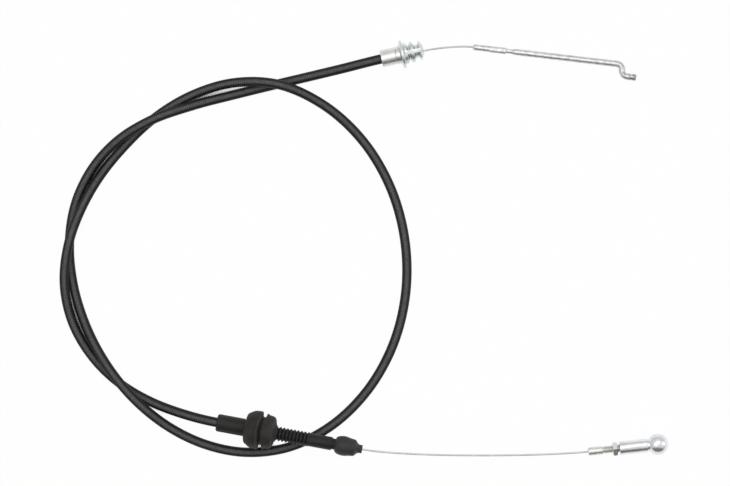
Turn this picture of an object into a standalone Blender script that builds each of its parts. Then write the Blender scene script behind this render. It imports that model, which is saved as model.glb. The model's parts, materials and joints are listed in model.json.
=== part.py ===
"""Throttle cable laid out flat on the floor.

A black conduit makes two loops. Its upper end is held in a grooved cast fitting, where the inner wire
comes out to a Z-bend pull rod. Its lower end is held in a moulded adjuster sleeve with a rubber
grommet and a dust cap, where the inner wire comes out to a threaded stud with a ball end.

Metres, +Z up, the floor at Z = 0. X runs along the longest extent.
"""

import math

import bmesh
import bpy
import numpy as np
from mathutils import Vector

# Clearances
FIT = 0.00025  # radial clearance of a piece held in a bore
FACE_GAP = 0.0003  # between two faces that meet

# Conduit, from the outside in
CONDUIT_R = 0.0030
JACKET_WALL = 0.0006
WINDING_WALL = 0.0007
LINER_WALL = 0.0003
LAYER_GAP = 0.0002
LINER_PROUD = 0.0100  # how far the liner runs on past each end of the conduit
RING_SPACING = 0.0165
WINDING_R = CONDUIT_R - JACKET_WALL - LAYER_GAP
LINER_R = WINDING_R - WINDING_WALL - LAYER_GAP

# Inner wire
WIRE_R = 0.0006
UPPER_SPRING = 0.75  # how far each bare length springs out between its ends, 1 for a free curve
LOWER_SPRING = 0.60
UPPER_WIRE_SPACING = 0.0045
LOWER_WIRE_SPACING = 0.0125
WIRE_BORE_R = WIRE_R + FIT
LINER_BORE_R = LINER_R + FIT
CONDUIT_BORE_R = CONDUIT_R + FIT

# Cast fitting at the upper end, and its ferrule
FERRULE_R = 0.00525
FERRULE_LENGTH = 0.0091
FERRULE_SHANK_R = 0.0040
FERRULE_SHANK_LENGTH = 0.0059
UPPER_SOCKET_DEPTH = 0.0085
HUB_R = 0.0054
FLANGE_R = 0.00855
FLANGE_ROOT_R = 0.0065
DISC_R = 0.0063
NARROW_GROOVE_R = 0.0046
WIDE_GROOVE_R = 0.0040
CASTING_LENGTH = 0.0171
EDGE_BREAK = 0.0003
UPPER_WIRE_SIDE = -0.0008  # the wire leans to one side of the bore where it comes out

# Pull rod
ROD_R = 0.0020
ROD_HEAD_R = 0.00188
ROD_CRIMP_HALF_WIDTH = 0.0021
ROD_CRIMP_HALF_HEIGHT = 0.0018
ROD_NECK_R = 0.00155
ROD_STRAIGHT = 0.0893
ROD_BEND_R = 0.0035
ROD_TAIL = 0.0056
ROD_SOCKET_DEPTH = 0.0120

# Adjuster sleeve at the lower end
BARREL_R = 0.0052
BARREL_LENGTH = 0.0166
BARREL_CHAMFER = 0.0006
LOWER_SOCKET_DEPTH = 0.0146
RIB_R = 0.0044
RIB_ROOT_R = 0.0036
RIB_PITCH = 0.00219
RIB_COUNT = 18
SMOOTH_R = 0.0041
SMOOTH_START = 0.0565
SMOOTH_END = 0.0711
NECK_R = 0.0034
BARB_LENGTH = 0.0073

# Grommet on the adjuster sleeve
GROMMET_R = 0.0118
GROMMET_LIP_R = 0.0107
GROMMET_GROOVE_R = 0.0086
GROMMET_NOSE_R = 0.0062
GROMMET_LENGTH = 0.0197
GROMMET_SHOULDER = 0.0100  # from its left face to the groove that takes the bulkhead
GROMMET_GROOVE_WIDTH = 0.0022
GROMMET_BORE_R = RIB_R + FIT

# Dust cap on the sleeve's nose
CAP_START = 0.0733
CAP_LENGTH = 0.0166
CAP_R = 0.0061
CAP_NOSE_R = 0.0024

# Stud, lock nut and ball end
STUD_CRIMP_R = 0.0025
STUD_CRIMP_LENGTH = 0.0109
STUD_SOCKET_DEPTH = 0.0095
THREAD_R = 0.0024
THREAD_LENGTH = 0.0195
NUT_ACROSS_FLATS = 0.0080
NUT_THICKNESS = 0.0030
NUT_START = 0.0152
BALL_BARREL_START = 0.0194
BALL_BARREL_R = 0.0042
BALL_BARREL_LENGTH = 0.0172
BALL_NECK_R = 0.00355
BALL_R = 0.0065
BALL_CENTRE = 0.0237  # from the barrel's open end

# The cable as it is laid out: its whole extent, and how far the lower end lies inside the loops
LAID_LENGTH = 0.3739
LAID_WIDTH = 0.2561
LOWER_INSET = 0.02175

# Where each fitting lies: X, Y, height of its axis, and the way its axis points
UPPER_END = (0.0283 * LAID_LENGTH, 0.4553 * LAID_WIDTH, FLANGE_R, math.radians(12.6))
LOWER_END = (-0.2399 * LAID_LENGTH, LOWER_INSET - 0.5 * LAID_WIDTH, GROMMET_R, math.radians(-10.5))
ROD_END = (0.1795 * LAID_LENGTH, 0.4854 * LAID_WIDTH, ROD_R, math.radians(-6.68))
STUD_END = (0.3680 * LAID_LENGTH, -0.4861 * LAID_WIDTH, BALL_R, math.radians(6.1))

# The conduit's first turn from the upper end: X as a share of the laid length, Y as a share of the
# laid width, and lift off the floor in conduit diameters, 1.11 where it lies on another strand
FIRST_TURN = [
    (-0.0392, 0.4314, 0.47), (-0.1017, 0.4101, 0.02), (-0.1459, 0.3949, 0.00),
    (-0.2109, 0.3716, 0.00), (-0.2806, 0.3444, 0.56), (-0.3510, 0.3071, 1.13),
    (-0.4013, 0.2630, 0.87), (-0.4440, 0.1988, 0.24), (-0.4731, 0.1157, 0.03),
    (-0.4847, 0.0120, 0.00), (-0.4790, -0.0812, 0.03), (-0.4620, -0.1674, 0.17),
    (-0.4338, -0.2514, 0.78), (-0.3966, -0.3276, 1.11), (-0.3594, -0.3837, 0.83),
    (-0.3167, -0.4306, 0.33), (-0.2639, -0.4681, 0.00), (-0.1987, -0.4881, 0.00),
    (-0.1272, -0.4774, 0.00), (-0.0554, -0.4263, 0.00), (0.0025, -0.3458, 0.00),
    (0.0466, -0.2347, 0.00), (0.0683, -0.1102, 0.00), (0.0675, 0.0183, 0.00),
    (0.0451, 0.1426, 0.00), (-0.0038, 0.2631, 0.00), (-0.0672, 0.3463, 0.48),
]
# The second turn lies along the first from its third point on, crossing it four times: distance to
# the left of the first turn, and lift, in conduit diameters
SECOND_TURN_FROM = 2
SECOND_TURN = [
    (-0.04, 1.12), (-1.17, 0.62), (-1.03, 0.08), (-0.01, 0.00), (0.80, 0.03), (1.08, 0.13),
    (0.86, 0.72), (0.01, 1.11), (-0.81, 0.78), (-1.14, 0.18), (-0.83, 0.03), (-0.03, 0.00),
]
# The last of the conduit, rising to the lower end, in the first turn's terms
LAST_RUN = [(-0.3512, -0.3664, 0.13), (-0.3010, -0.3934, 0.83)]

ROUND_SIDES = 22
SMALL_SIDES = 16


def clear_scene():
    for old in list(bpy.data.objects):
        bpy.data.objects.remove(old, do_unlink=True)


def finish(name, colour, metallic, roughness):
    """A Principled material of one colour."""
    material = bpy.data.materials.new(name)
    material.use_nodes = True
    shader = material.node_tree.nodes["Principled BSDF"]
    shader.inputs["Base Color"].default_value = (*colour, 1.0)
    shader.inputs["Metallic"].default_value = metallic
    shader.inputs["Roughness"].default_value = roughness
    material.diffuse_color = (*colour, 1.0)
    return material


def heading(place):
    return np.array([math.cos(place[3]), math.sin(place[3]), 0.0])


def on_axis(place, station, side=0.0):
    """The point that lies at a station along a fitting's axis, and to its left by side."""
    along = heading(place)
    left = np.array([-along[1], along[0], 0.0])
    return np.array(place[:3]) + station * along + side * left


def smooth_curve(points, first_tangent, last_tangent, steps=24):
    """Points of a cubic curve through the given ones, leaving and arriving along the tangents."""
    points = np.array(points)
    spans = np.linalg.norm(np.diff(points, axis=0), axis=1)
    slopes = np.diff(points, axis=0) / spans[:, None]
    tangents = np.vstack([first_tangent, np.zeros((len(points) - 2, 3)), last_tangent])
    for i in range(1, len(points) - 1):
        before, after = spans[i - 1], spans[i]
        tangents[i] = (slopes[i - 1] * after + slopes[i] * before) / (before + after)
    curve = []
    for i, span in enumerate(spans):
        for u in np.arange(steps) / steps:
            curve.append(
                (2.0 * u**3 - 3.0 * u**2 + 1.0) * points[i]
                + (u**3 - 2.0 * u**2 + u) * span * tangents[i]
                + (3.0 * u**2 - 2.0 * u**3) * points[i + 1]
                + (u**3 - u**2) * span * tangents[i + 1]
            )
    return np.array(curve + [points[-1]])


def spaced(curve, spacing):
    """The curve's points moved to equal steps along it."""
    run = np.concatenate([[0.0], np.cumsum(np.linalg.norm(np.diff(curve, axis=0), axis=1))])
    stations = np.linspace(0.0, run[-1], max(2, round(run[-1] / spacing) + 1))
    return np.column_stack([np.interp(stations, run, curve[:, k]) for k in range(3)])


def laid(share_x, share_y, lift):
    """A point of the conduit's centre line, which lies a radius above what it lies on."""
    return np.array([share_x * LAID_LENGTH, share_y * LAID_WIDTH, CONDUIT_R + 2.0 * CONDUIT_R * lift])


def conduit_run():
    """Centre points of the conduit between the mouths of its two fittings."""
    first = [laid(*point) for point in FIRST_TURN]
    second = []
    for i, (aside, lift) in enumerate(SECOND_TURN, SECOND_TURN_FROM):
        along = first[i + 1] - first[i - 1]
        left = np.array([-along[1], along[0], 0.0]) / math.hypot(along[0], along[1])
        point = first[i] + 2.0 * CONDUIT_R * aside * left
        point[2] = CONDUIT_R + 2.0 * CONDUIT_R * lift
        second.append(point)
    last = [laid(*point) for point in LAST_RUN]
    route = [on_axis(UPPER_END, 0.0), *first, *second, *last, on_axis(LOWER_END, 0.0)]
    curve = smooth_curve(route, -heading(UPPER_END), heading(LOWER_END))
    curve[:, 2] = np.maximum(curve[:, 2], CONDUIT_R)
    return spaced(curve, RING_SPACING)


def bare_wire(start, start_heading, end, end_heading, spring, spacing):
    """Centre points of a bare length of wire, bowed by the two pieces that hold it."""
    return spaced(smooth_curve([start, end], spring * start_heading, spring * end_heading), spacing)


def wire_run(run):
    """Centre points of the inner wire from the pull rod's socket to the stud's socket."""
    casting_end = FERRULE_LENGTH + FACE_GAP + CASTING_LENGTH
    upper = bare_wire(
        on_axis(UPPER_END, casting_end, UPPER_WIRE_SIDE), heading(UPPER_END),
        on_axis(ROD_END, 0.0), heading(ROD_END), UPPER_SPRING, UPPER_WIRE_SPACING,
    )
    lower = bare_wire(
        on_axis(LOWER_END, CAP_START + CAP_LENGTH), heading(LOWER_END),
        on_axis(STUD_END, 0.0), heading(STUD_END), LOWER_SPRING, LOWER_WIRE_SPACING,
    )
    return np.vstack([
        on_axis(ROD_END, ROD_SOCKET_DEPTH - FACE_GAP),
        upper[::-1],
        on_axis(UPPER_END, UPPER_SOCKET_DEPTH + LINER_PROUD),
        on_axis(UPPER_END, UPPER_SOCKET_DEPTH),
        run,
        on_axis(LOWER_END, LOWER_SOCKET_DEPTH),
        on_axis(LOWER_END, LOWER_SOCKET_DEPTH + LINER_PROUD),
        lower,
        on_axis(STUD_END, STUD_SOCKET_DEPTH - FACE_GAP),
    ])


def cord(name, points, radius, material, wall=None):
    """A round cord along the points, or a hollow one with open ends when it has a wall."""
    data = bpy.data.curves.new(name, "CURVE")
    data.dimensions = "3D"
    data.fill_mode = "FULL"
    data.bevel_depth = radius
    data.bevel_resolution = 2
    data.use_fill_caps = wall is None
    spline = data.splines.new("POLY")
    spline.points.add(len(points) - 1)
    for point, place in zip(spline.points, points):
        point.co = (*place, 1.0)
    spline.use_smooth = True
    obj = bpy.data.objects.new(name, data)
    bpy.context.collection.objects.link(obj)
    data.materials.append(material)
    if wall is not None:
        thick = obj.modifiers.new("Wall", "SOLIDIFY")
        thick.thickness = wall
        thick.offset = -1.0
        thick.use_even_offset = True
    return obj


def mesh_object(name, build, material, parent, station=0.0):
    """An object whose mesh is that of a bmesh, shaded smooth, at a station on its parent's axis."""
    bmesh.ops.recalc_face_normals(build, faces=build.faces)
    data = bpy.data.meshes.new(name)
    build.to_mesh(data)
    build.free()
    data.shade_smooth()
    data.set_sharp_from_angle(angle=math.radians(32.0))
    data.materials.append(material)
    obj = bpy.data.objects.new(name, data)
    bpy.context.collection.objects.link(obj)
    obj.parent = parent
    obj.location = (station, 0.0, 0.0)
    return obj


def turned(name, profile, material, parent, station=0.0, sides=ROUND_SIDES):
    """A body turned about its own X axis.

    The profile is a list of stations and radii. It is closed round when it starts off the axis,
    and it starts and ends on the axis when the body is solid there.
    """
    build = bmesh.new()
    corners = [build.verts.new((x, 0.0, r)) for x, r in profile]
    edges = [build.edges.new(pair) for pair in zip(corners, corners[1:])]
    if profile[0][1] > 0.0:
        edges.append(build.edges.new((corners[-1], corners[0])))
    bmesh.ops.spin(
        build, geom=corners + edges, cent=(0.0, 0.0, 0.0), axis=(1.0, 0.0, 0.0),
        angle=math.tau, steps=sides,
    )
    bmesh.ops.remove_doubles(build, verts=build.verts, dist=1e-6)
    return mesh_object(name, build, material, parent, station)


def section(x, y, turn, half_width, half_height, sides, first=0.0):
    """Corners of a cross-section centred at x, y, across the heading turn."""
    corners = []
    for k in range(sides):
        angle = first + math.tau * k / sides
        across = half_width * math.cos(angle)
        corners.append(
            Vector((x - across * math.sin(turn), y + across * math.cos(turn), half_height * math.sin(angle)))
        )
    return corners


def lofted(name, sections, material, parent, station=0.0):
    """A body through cross-sections with the same number of corners, closed at both ends."""
    build = bmesh.new()
    loops = [[build.verts.new(corner) for corner in corners] for corners in sections]
    for near, far in zip(loops, loops[1:]):
        for k in range(len(near)):
            after = (k + 1) % len(near)
            build.faces.new((near[k], near[after], far[after], far[k]))
    build.faces.new(loops[0])
    build.faces.new(loops[-1])
    return mesh_object(name, build, material, parent, station)


def place_empty(name, place):
    empty = bpy.data.objects.new(name, None)
    bpy.context.collection.objects.link(empty)
    empty.empty_display_size = 0.01
    empty.location = place[:3]
    empty.rotation_euler = (0.0, 0.0, place[3])
    return empty


def make_conduit(run, jacket_finish, steel_finish, liner_finish):
    upper_stop = on_axis(UPPER_END, UPPER_SOCKET_DEPTH)
    lower_stop = on_axis(LOWER_END, LOWER_SOCKET_DEPTH)
    held = np.vstack([upper_stop, run, lower_stop])
    cord("conduit_jacket", held, CONDUIT_R, jacket_finish, JACKET_WALL)
    cord("conduit_winding", held, WINDING_R, steel_finish, WINDING_WALL)
    liner = np.vstack([
        on_axis(UPPER_END, UPPER_SOCKET_DEPTH + LINER_PROUD),
        held,
        on_axis(LOWER_END, LOWER_SOCKET_DEPTH + LINER_PROUD),
    ])
    cord("conduit_liner", liner, LINER_R, liner_finish, LINER_WALL)


def make_ferrule(parent, material):
    """Steel tube round the conduit, with a narrower shank that the casting holds."""
    shank_end = FERRULE_LENGTH + FERRULE_SHANK_LENGTH
    socket_end = UPPER_SOCKET_DEPTH + FACE_GAP
    turned("conduit_ferrule", [
        (0.0, CONDUIT_BORE_R + EDGE_BREAK),
        (0.0, FERRULE_R - EDGE_BREAK),
        (EDGE_BREAK, FERRULE_R),
        (FERRULE_LENGTH, FERRULE_R),
        (FERRULE_LENGTH, FERRULE_SHANK_R),
        (shank_end - EDGE_BREAK, FERRULE_SHANK_R),
        (shank_end, FERRULE_SHANK_R - EDGE_BREAK),
        (shank_end, LINER_BORE_R),
        (socket_end, LINER_BORE_R),
        (socket_end, CONDUIT_BORE_R),
        (EDGE_BREAK, CONDUIT_BORE_R),
    ], material, parent)


def disc(start, end, radius, root_before, root_after):
    """Profile of one disc of the casting, its edges broken."""
    return [
        (start, root_before),
        (start, radius - EDGE_BREAK),
        (start + EDGE_BREAK, radius),
        (end - EDGE_BREAK, radius),
        (end, radius - EDGE_BREAK),
        (end, root_after),
    ]


def make_casting(parent, material):
    """Die-cast fitting: a hub, a flange, and three discs with two grooves between them."""
    shank_hole = FERRULE_SHANK_LENGTH + FACE_GAP
    turned("bracket_fitting", [
        (0.0, FERRULE_SHANK_R + FIT),
        (0.0, HUB_R),
        (0.0026, HUB_R),
        (0.0026, FLANGE_ROOT_R),
        (0.0033, FLANGE_R - EDGE_BREAK),
        (0.0036, FLANGE_R),
        (0.0045, FLANGE_R),
        (0.0048, FLANGE_R - EDGE_BREAK),
        (0.0052, FLANGE_ROOT_R + EDGE_BREAK),
        (0.0052, DISC_R),
        (0.0072, DISC_R),
        (0.0075, DISC_R - EDGE_BREAK),
        (0.0075, NARROW_GROOVE_R),
        *disc(0.0090, 0.0114, DISC_R, NARROW_GROOVE_R, WIDE_GROOVE_R),
        (0.0145, WIDE_GROOVE_R),
        (0.0145, DISC_R - EDGE_BREAK),
        (0.0148, DISC_R),
        (0.0162, DISC_R - EDGE_BREAK),
        (CASTING_LENGTH, 0.0026),
        (CASTING_LENGTH, LINER_BORE_R),
        (shank_hole, LINER_BORE_R),
        (shank_hole, FERRULE_SHANK_R + FIT),
    ], material, parent, FERRULE_LENGTH + FACE_GAP)


def make_pull_rod(parent, material):
    """Round rod with a socket for the wire at one end and a Z bend at the other."""
    sides = SMALL_SIDES
    rings = [
        section(ROD_SOCKET_DEPTH, 0.0, 0.0, WIRE_BORE_R, WIRE_BORE_R, sides),
        section(0.0, 0.0, 0.0, WIRE_BORE_R, WIRE_BORE_R, sides),
        section(0.0, 0.0, 0.0, 0.0012, 0.0012, sides),
        section(0.0010, 0.0, 0.0, ROD_HEAD_R, ROD_HEAD_R, sides),
        section(0.0092, 0.0, 0.0, ROD_HEAD_R, ROD_HEAD_R, sides),
        section(0.0107, 0.0, 0.0, ROD_CRIMP_HALF_WIDTH, ROD_CRIMP_HALF_HEIGHT, sides),
        section(0.0189, 0.0, 0.0, ROD_CRIMP_HALF_WIDTH, ROD_CRIMP_HALF_HEIGHT, sides),
        section(0.0215, 0.0, 0.0, ROD_NECK_R, ROD_NECK_R, sides),
        section(0.0240, 0.0, 0.0, ROD_NECK_R, ROD_NECK_R, sides),
        section(0.0268, 0.0, 0.0, ROD_R, ROD_R, sides),
    ]
    bend_steps = 6
    for step in range(bend_steps + 1):
        turn = math.pi / 2.0 * step / bend_steps
        rings.append(section(
            ROD_STRAIGHT + ROD_BEND_R * math.sin(turn),
            -ROD_BEND_R * (1.0 - math.cos(turn)),
            -turn, ROD_R, ROD_R, sides,
        ))
    second_centre = ROD_STRAIGHT + 2.0 * ROD_BEND_R
    for step in range(1, bend_steps + 1):
        turn = math.pi / 2.0 * (1.0 - step / bend_steps)
        rings.append(section(
            second_centre - ROD_BEND_R * math.sin(turn),
            -ROD_BEND_R * (1.0 + math.cos(turn)),
            -turn, ROD_R, ROD_R, sides,
        ))
    tail_end = second_centre + ROD_TAIL
    low = -2.0 * ROD_BEND_R
    rings.append(section(tail_end - EDGE_BREAK, low, 0.0, ROD_R, ROD_R, sides))
    rings.append(section(tail_end, low, 0.0, ROD_R - EDGE_BREAK, ROD_R - EDGE_BREAK, sides))
    lofted("pull_rod", rings, material, parent)


def rib_profile():
    """Ribs of the adjuster sleeve, each a flat crest between two sloped flanks."""
    points = []
    for rib in range(RIB_COUNT):
        start = BARREL_LENGTH + FACE_GAP + rib * RIB_PITCH
        points += [
            (start, RIB_ROOT_R),
            (start + 0.25 * RIB_PITCH, RIB_R),
            (start + 0.70 * RIB_PITCH, RIB_R),
        ]
    return points


def make_sleeve(parent, material):
    """One moulding: a barrel round the conduit, a ribbed length, a smooth length and a barbed nose."""
    barb_start = CAP_START + 0.0024
    nose_end = barb_start + BARB_LENGTH
    socket_end = LOWER_SOCKET_DEPTH + FACE_GAP
    turned("adjuster_sleeve", [
        (0.0, CONDUIT_BORE_R + EDGE_BREAK),
        (0.0, BARREL_R - BARREL_CHAMFER),
        (BARREL_CHAMFER, BARREL_R),
        (BARREL_LENGTH - EDGE_BREAK, BARREL_R),
        (BARREL_LENGTH, BARREL_R - EDGE_BREAK),
        (BARREL_LENGTH, RIB_ROOT_R),
        *rib_profile(),
        (SMOOTH_START, RIB_ROOT_R),
        (SMOOTH_START + EDGE_BREAK, SMOOTH_R),
        (SMOOTH_END - EDGE_BREAK, SMOOTH_R),
        (SMOOTH_END, SMOOTH_R - EDGE_BREAK),
        (SMOOTH_END + EDGE_BREAK, NECK_R),
        (barb_start, NECK_R),
        (barb_start, SMOOTH_R),
        (barb_start + 0.0016, SMOOTH_R),
        (nose_end, NECK_R - EDGE_BREAK),
        (nose_end, LINER_BORE_R),
        (socket_end, LINER_BORE_R),
        (socket_end, CONDUIT_BORE_R),
        (EDGE_BREAK, CONDUIT_BORE_R),
    ], material, parent, sides=SMALL_SIDES)


def make_grommet(parent, material):
    """Rubber grommet with a groove for the bulkhead, a slide fit on the sleeve's ribs."""
    groove_end = GROMMET_SHOULDER + GROMMET_GROOVE_WIDTH
    tail = GROMMET_LENGTH - groove_end
    turned("bulkhead_grommet", [
        (0.0, GROMMET_BORE_R),
        (0.0, GROMMET_NOSE_R),
        (0.0006, GROMMET_R * 0.72),
        (0.0012, GROMMET_R * 0.79),
        (0.0037, GROMMET_R * 0.92),
        (0.0049, GROMMET_R * 0.97),
        (0.0085, GROMMET_R),
        (0.0094, GROMMET_R),
        (GROMMET_SHOULDER, GROMMET_R * 0.97),
        (GROMMET_SHOULDER, GROMMET_GROOVE_R),
        (groove_end, GROMMET_GROOVE_R),
        (groove_end, GROMMET_LIP_R - EDGE_BREAK),
        (groove_end + 0.06 * tail, GROMMET_LIP_R),
        (groove_end + 0.16 * tail, GROMMET_LIP_R),
        (groove_end + 0.26 * tail, GROMMET_LIP_R * 0.94),
        (groove_end + 0.50 * tail, GROMMET_LIP_R * 0.92),
        (groove_end + 0.76 * tail, GROMMET_LIP_R * 0.86),
        (groove_end + 0.86 * tail, GROMMET_LIP_R * 0.74),
        (groove_end + 0.94 * tail, GROMMET_BORE_R + 0.0010),
        (GROMMET_LENGTH, GROMMET_BORE_R + 0.0004),
        (GROMMET_LENGTH, GROMMET_BORE_R),
    ], material, parent, BARREL_LENGTH + FACE_GAP)


def make_cap(parent, material):
    """Dust cap pressed over the sleeve's barb, with a small hole that the wire runs through."""
    inside = SMOOTH_R + FIT
    barb_start = CAP_START + 0.0024
    nose_end = barb_start + BARB_LENGTH
    turned("dust_cap", [
        (0.0, NECK_R + FIT),
        (0.0, CAP_R * 0.72),
        (0.0008, CAP_R * 0.80),
        (0.0016, CAP_R * 0.89),
        (0.0030, CAP_R * 0.95),
        (0.0051, CAP_R),
        (0.0063, CAP_R * 0.985),
        (0.0076, CAP_R * 0.95),
        (0.0088, CAP_R * 0.90),
        (0.0110, CAP_R * 0.86),
        (0.0120, CAP_R * 0.83),
        (0.0125, CAP_R * 0.77),
        (0.0131, CAP_R * 0.64),
        (0.0137, CAP_NOSE_R * 1.35),
        (0.0144, CAP_NOSE_R * 1.15),
        (0.0152, CAP_NOSE_R * 1.06),
        (CAP_LENGTH, CAP_NOSE_R),
        (CAP_LENGTH, WIRE_BORE_R),
        (nose_end - CAP_START + FACE_GAP, WIRE_BORE_R),
        (nose_end - CAP_START + FACE_GAP, NECK_R),
        (barb_start - CAP_START + 0.0020, inside),
        (barb_start - CAP_START - FACE_GAP, inside),
        (barb_start - CAP_START - FACE_GAP, NECK_R + FIT),
    ], material, parent, CAP_START)


def make_stud(parent, material):
    """Stud with a socket crimped on the wire and a thread; the thread's pitch isn't modelled."""
    thread_end = STUD_CRIMP_LENGTH + THREAD_LENGTH
    turned("threaded_stud", [
        (STUD_SOCKET_DEPTH, 0.0),
        (STUD_SOCKET_DEPTH, WIRE_BORE_R),
        (0.0, WIRE_BORE_R),
        (0.0, STUD_CRIMP_R - 0.0006),
        (0.0007, STUD_CRIMP_R),
        (STUD_CRIMP_LENGTH, STUD_CRIMP_R),
        (STUD_CRIMP_LENGTH, THREAD_R - 0.0004),
        (STUD_CRIMP_LENGTH + 0.0004, THREAD_R),
        (thread_end - 0.0005, THREAD_R),
        (thread_end, THREAD_R - 0.0005),
        (thread_end, 0.0),
    ], material, parent, sides=SMALL_SIDES)


def cutter(obj):
    obj.hide_render = True
    obj.display_type = "WIRE"
    return obj


def cut(obj, name, operation, tool):
    boolean = obj.modifiers.new(name, "BOOLEAN")
    boolean.operation = operation
    boolean.solver = "EXACT"
    boolean.object = tool


def make_nut(parent, material):
    """Hexagon lock nut with two corners up and down, its corners chamfered on both faces."""
    corner_r = NUT_ACROSS_FLATS / 2.0 / math.cos(math.pi / 6.0)
    ends = [
        section(x, 0.0, 0.0, corner_r, corner_r, 6, math.pi / 2.0) for x in (0.0, NUT_THICKNESS)
    ]
    nut = lofted("lock_nut", ends, material, parent, NUT_START)
    face_r = NUT_ACROSS_FLATS / 2.0 * 0.95
    rise = (corner_r - face_r) * math.tan(math.radians(30.0))
    over = 0.0010
    chamfer = turned("nut_chamfer", [
        (-over, 0.0),
        (-over, face_r - over / math.tan(math.radians(30.0))),
        (rise, corner_r),
        (rise, corner_r + over),
        (NUT_THICKNESS - rise, corner_r + over),
        (NUT_THICKNESS - rise, corner_r),
        (NUT_THICKNESS + over, face_r - over / math.tan(math.radians(30.0))),
        (NUT_THICKNESS + over, 0.0),
    ], material, parent, NUT_START)
    bore = turned("nut_bore", [
        (-over, 0.0),
        (-over, THREAD_R + FIT),
        (NUT_THICKNESS + over, THREAD_R + FIT),
        (NUT_THICKNESS + over, 0.0),
    ], material, parent, NUT_START, SMALL_SIDES)
    cut(nut, "Chamfer", "INTERSECT", cutter(chamfer))
    cut(nut, "Bore", "DIFFERENCE", cutter(bore))


def make_ball_end(parent, material):
    """Barrel with a threaded hole, and the ball turned on its end."""
    bore_r = THREAD_R + FIT
    bore_depth = STUD_CRIMP_LENGTH + THREAD_LENGTH - BALL_BARREL_START + 0.0020
    meet = math.asin(BALL_NECK_R / BALL_R)
    arc_steps = 8
    arc = []
    for step in range(arc_steps):
        angle = math.pi - meet - (math.pi - meet) * step / arc_steps
        arc.append((BALL_CENTRE + BALL_R * math.cos(angle), BALL_R * math.sin(angle)))
    turned("ball_end", [
        (bore_depth, 0.0),
        (bore_depth, bore_r),
        (EDGE_BREAK, bore_r),
        (0.0, bore_r + EDGE_BREAK),
        (0.0, BALL_BARREL_R - 0.0006),
        (0.0006, BALL_BARREL_R),
        (BALL_BARREL_LENGTH - 0.0006, BALL_BARREL_R),
        (BALL_BARREL_LENGTH, BALL_BARREL_R - 0.0005),
        (BALL_BARREL_LENGTH + 0.0003, BALL_NECK_R),
        *arc,
        (BALL_CENTRE + BALL_R, 0.0),
    ], material, parent, BALL_BARREL_START)


def main():
    clear_scene()
    jacket = finish("black polymer jacket", (0.020, 0.021, 0.022), 0.0, 0.42)
    steel = finish("spring steel", (0.35, 0.35, 0.36), 1.0, 0.40)
    liner = finish("natural liner", (0.75, 0.75, 0.72), 0.0, 0.45)
    wire = finish("galvanised wire", (0.60, 0.61, 0.62), 1.0, 0.38)
    zinc = finish("die-cast zinc", (0.62, 0.64, 0.62), 1.0, 0.45)
    plated = finish("plated steel", (0.72, 0.73, 0.73), 1.0, 0.30)
    bright = finish("bright plating", (0.80, 0.80, 0.80), 1.0, 0.16)
    nylon = finish("black nylon", (0.026, 0.027, 0.028), 0.0, 0.50)
    rubber = finish("dark rubber", (0.042, 0.042, 0.040), 0.0, 0.70)

    upper = place_empty("upper_end", UPPER_END)
    lower = place_empty("lower_end", LOWER_END)
    rod_side = place_empty("rod_side", ROD_END)
    stud_side = place_empty("stud_side", STUD_END)

    run = conduit_run()
    make_conduit(run, jacket, steel, liner)
    cord("inner_wire", wire_run(run), WIRE_R, wire)

    make_ferrule(upper, plated)
    make_casting(upper, zinc)
    make_pull_rod(rod_side, plated)

    make_sleeve(lower, nylon)
    make_grommet(lower, rubber)
    make_cap(lower, rubber)

    make_stud(stud_side, plated)
    make_nut(stud_side, bright)
    make_ball_end(stud_side, bright)


if __name__ == "__main__":
    main()
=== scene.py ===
"""Looks of the throttle cable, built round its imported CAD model.

One Geometry Nodes tree sweeps everything that carries ridges along a path: the conduit, the stranded
wire, the sleeve's ribs and the stud's thread. The fittings are turned or lofted in mesh code. Each
piece stands where its CAD node stands, in metres.
"""

import json
import logging
import math
from collections.abc import Callable
from dataclasses import dataclass
from enum import Enum

import bmesh
import bpy
import numpy as np
from mathutils import Euler, Matrix, Vector

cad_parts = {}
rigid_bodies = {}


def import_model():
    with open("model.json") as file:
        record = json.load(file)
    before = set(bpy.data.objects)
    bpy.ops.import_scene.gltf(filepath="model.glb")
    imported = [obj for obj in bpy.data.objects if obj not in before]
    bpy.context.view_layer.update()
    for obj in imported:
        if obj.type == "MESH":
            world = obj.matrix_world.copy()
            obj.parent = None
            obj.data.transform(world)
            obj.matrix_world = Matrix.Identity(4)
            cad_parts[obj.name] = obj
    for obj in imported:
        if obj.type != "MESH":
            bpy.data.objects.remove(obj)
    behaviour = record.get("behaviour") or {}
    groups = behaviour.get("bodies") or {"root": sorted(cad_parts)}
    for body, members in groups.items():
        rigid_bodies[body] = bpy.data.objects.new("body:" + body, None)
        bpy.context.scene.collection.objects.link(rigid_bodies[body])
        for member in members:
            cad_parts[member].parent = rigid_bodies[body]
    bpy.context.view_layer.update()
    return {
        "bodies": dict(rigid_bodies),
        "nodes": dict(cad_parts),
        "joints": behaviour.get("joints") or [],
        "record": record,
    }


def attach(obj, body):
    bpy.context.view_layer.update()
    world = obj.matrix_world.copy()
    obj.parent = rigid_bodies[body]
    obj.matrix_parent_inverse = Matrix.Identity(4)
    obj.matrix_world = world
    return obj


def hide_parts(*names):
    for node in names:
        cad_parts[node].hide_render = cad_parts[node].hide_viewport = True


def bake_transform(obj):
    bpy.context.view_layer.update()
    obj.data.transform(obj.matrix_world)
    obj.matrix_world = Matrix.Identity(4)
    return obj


LOG = logging.getLogger("throttle_cable")
TINY = 1e-7  # metres within which two points are the same
MOST_ROUNDED = 0.48  # share of an edge that the rounding of one corner may take up
NEARLY_STRAIGHT = -0.94  # cosine between two edges below which their corner shows no wear
# on the conduit's jacket this attribute holds the painted highlight along its top instead of wear
WEAR_AND_HIGHLIGHT = "wear"  # attribute: 1 on worn edges and crests, -1 in corners and valleys
RUN = "run"  # attribute: metres along a swept path, then the place round it

Colour = tuple[float, float, float]
Point = tuple[float, float, float]
Profile = list[tuple[float, float, float]]


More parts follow.
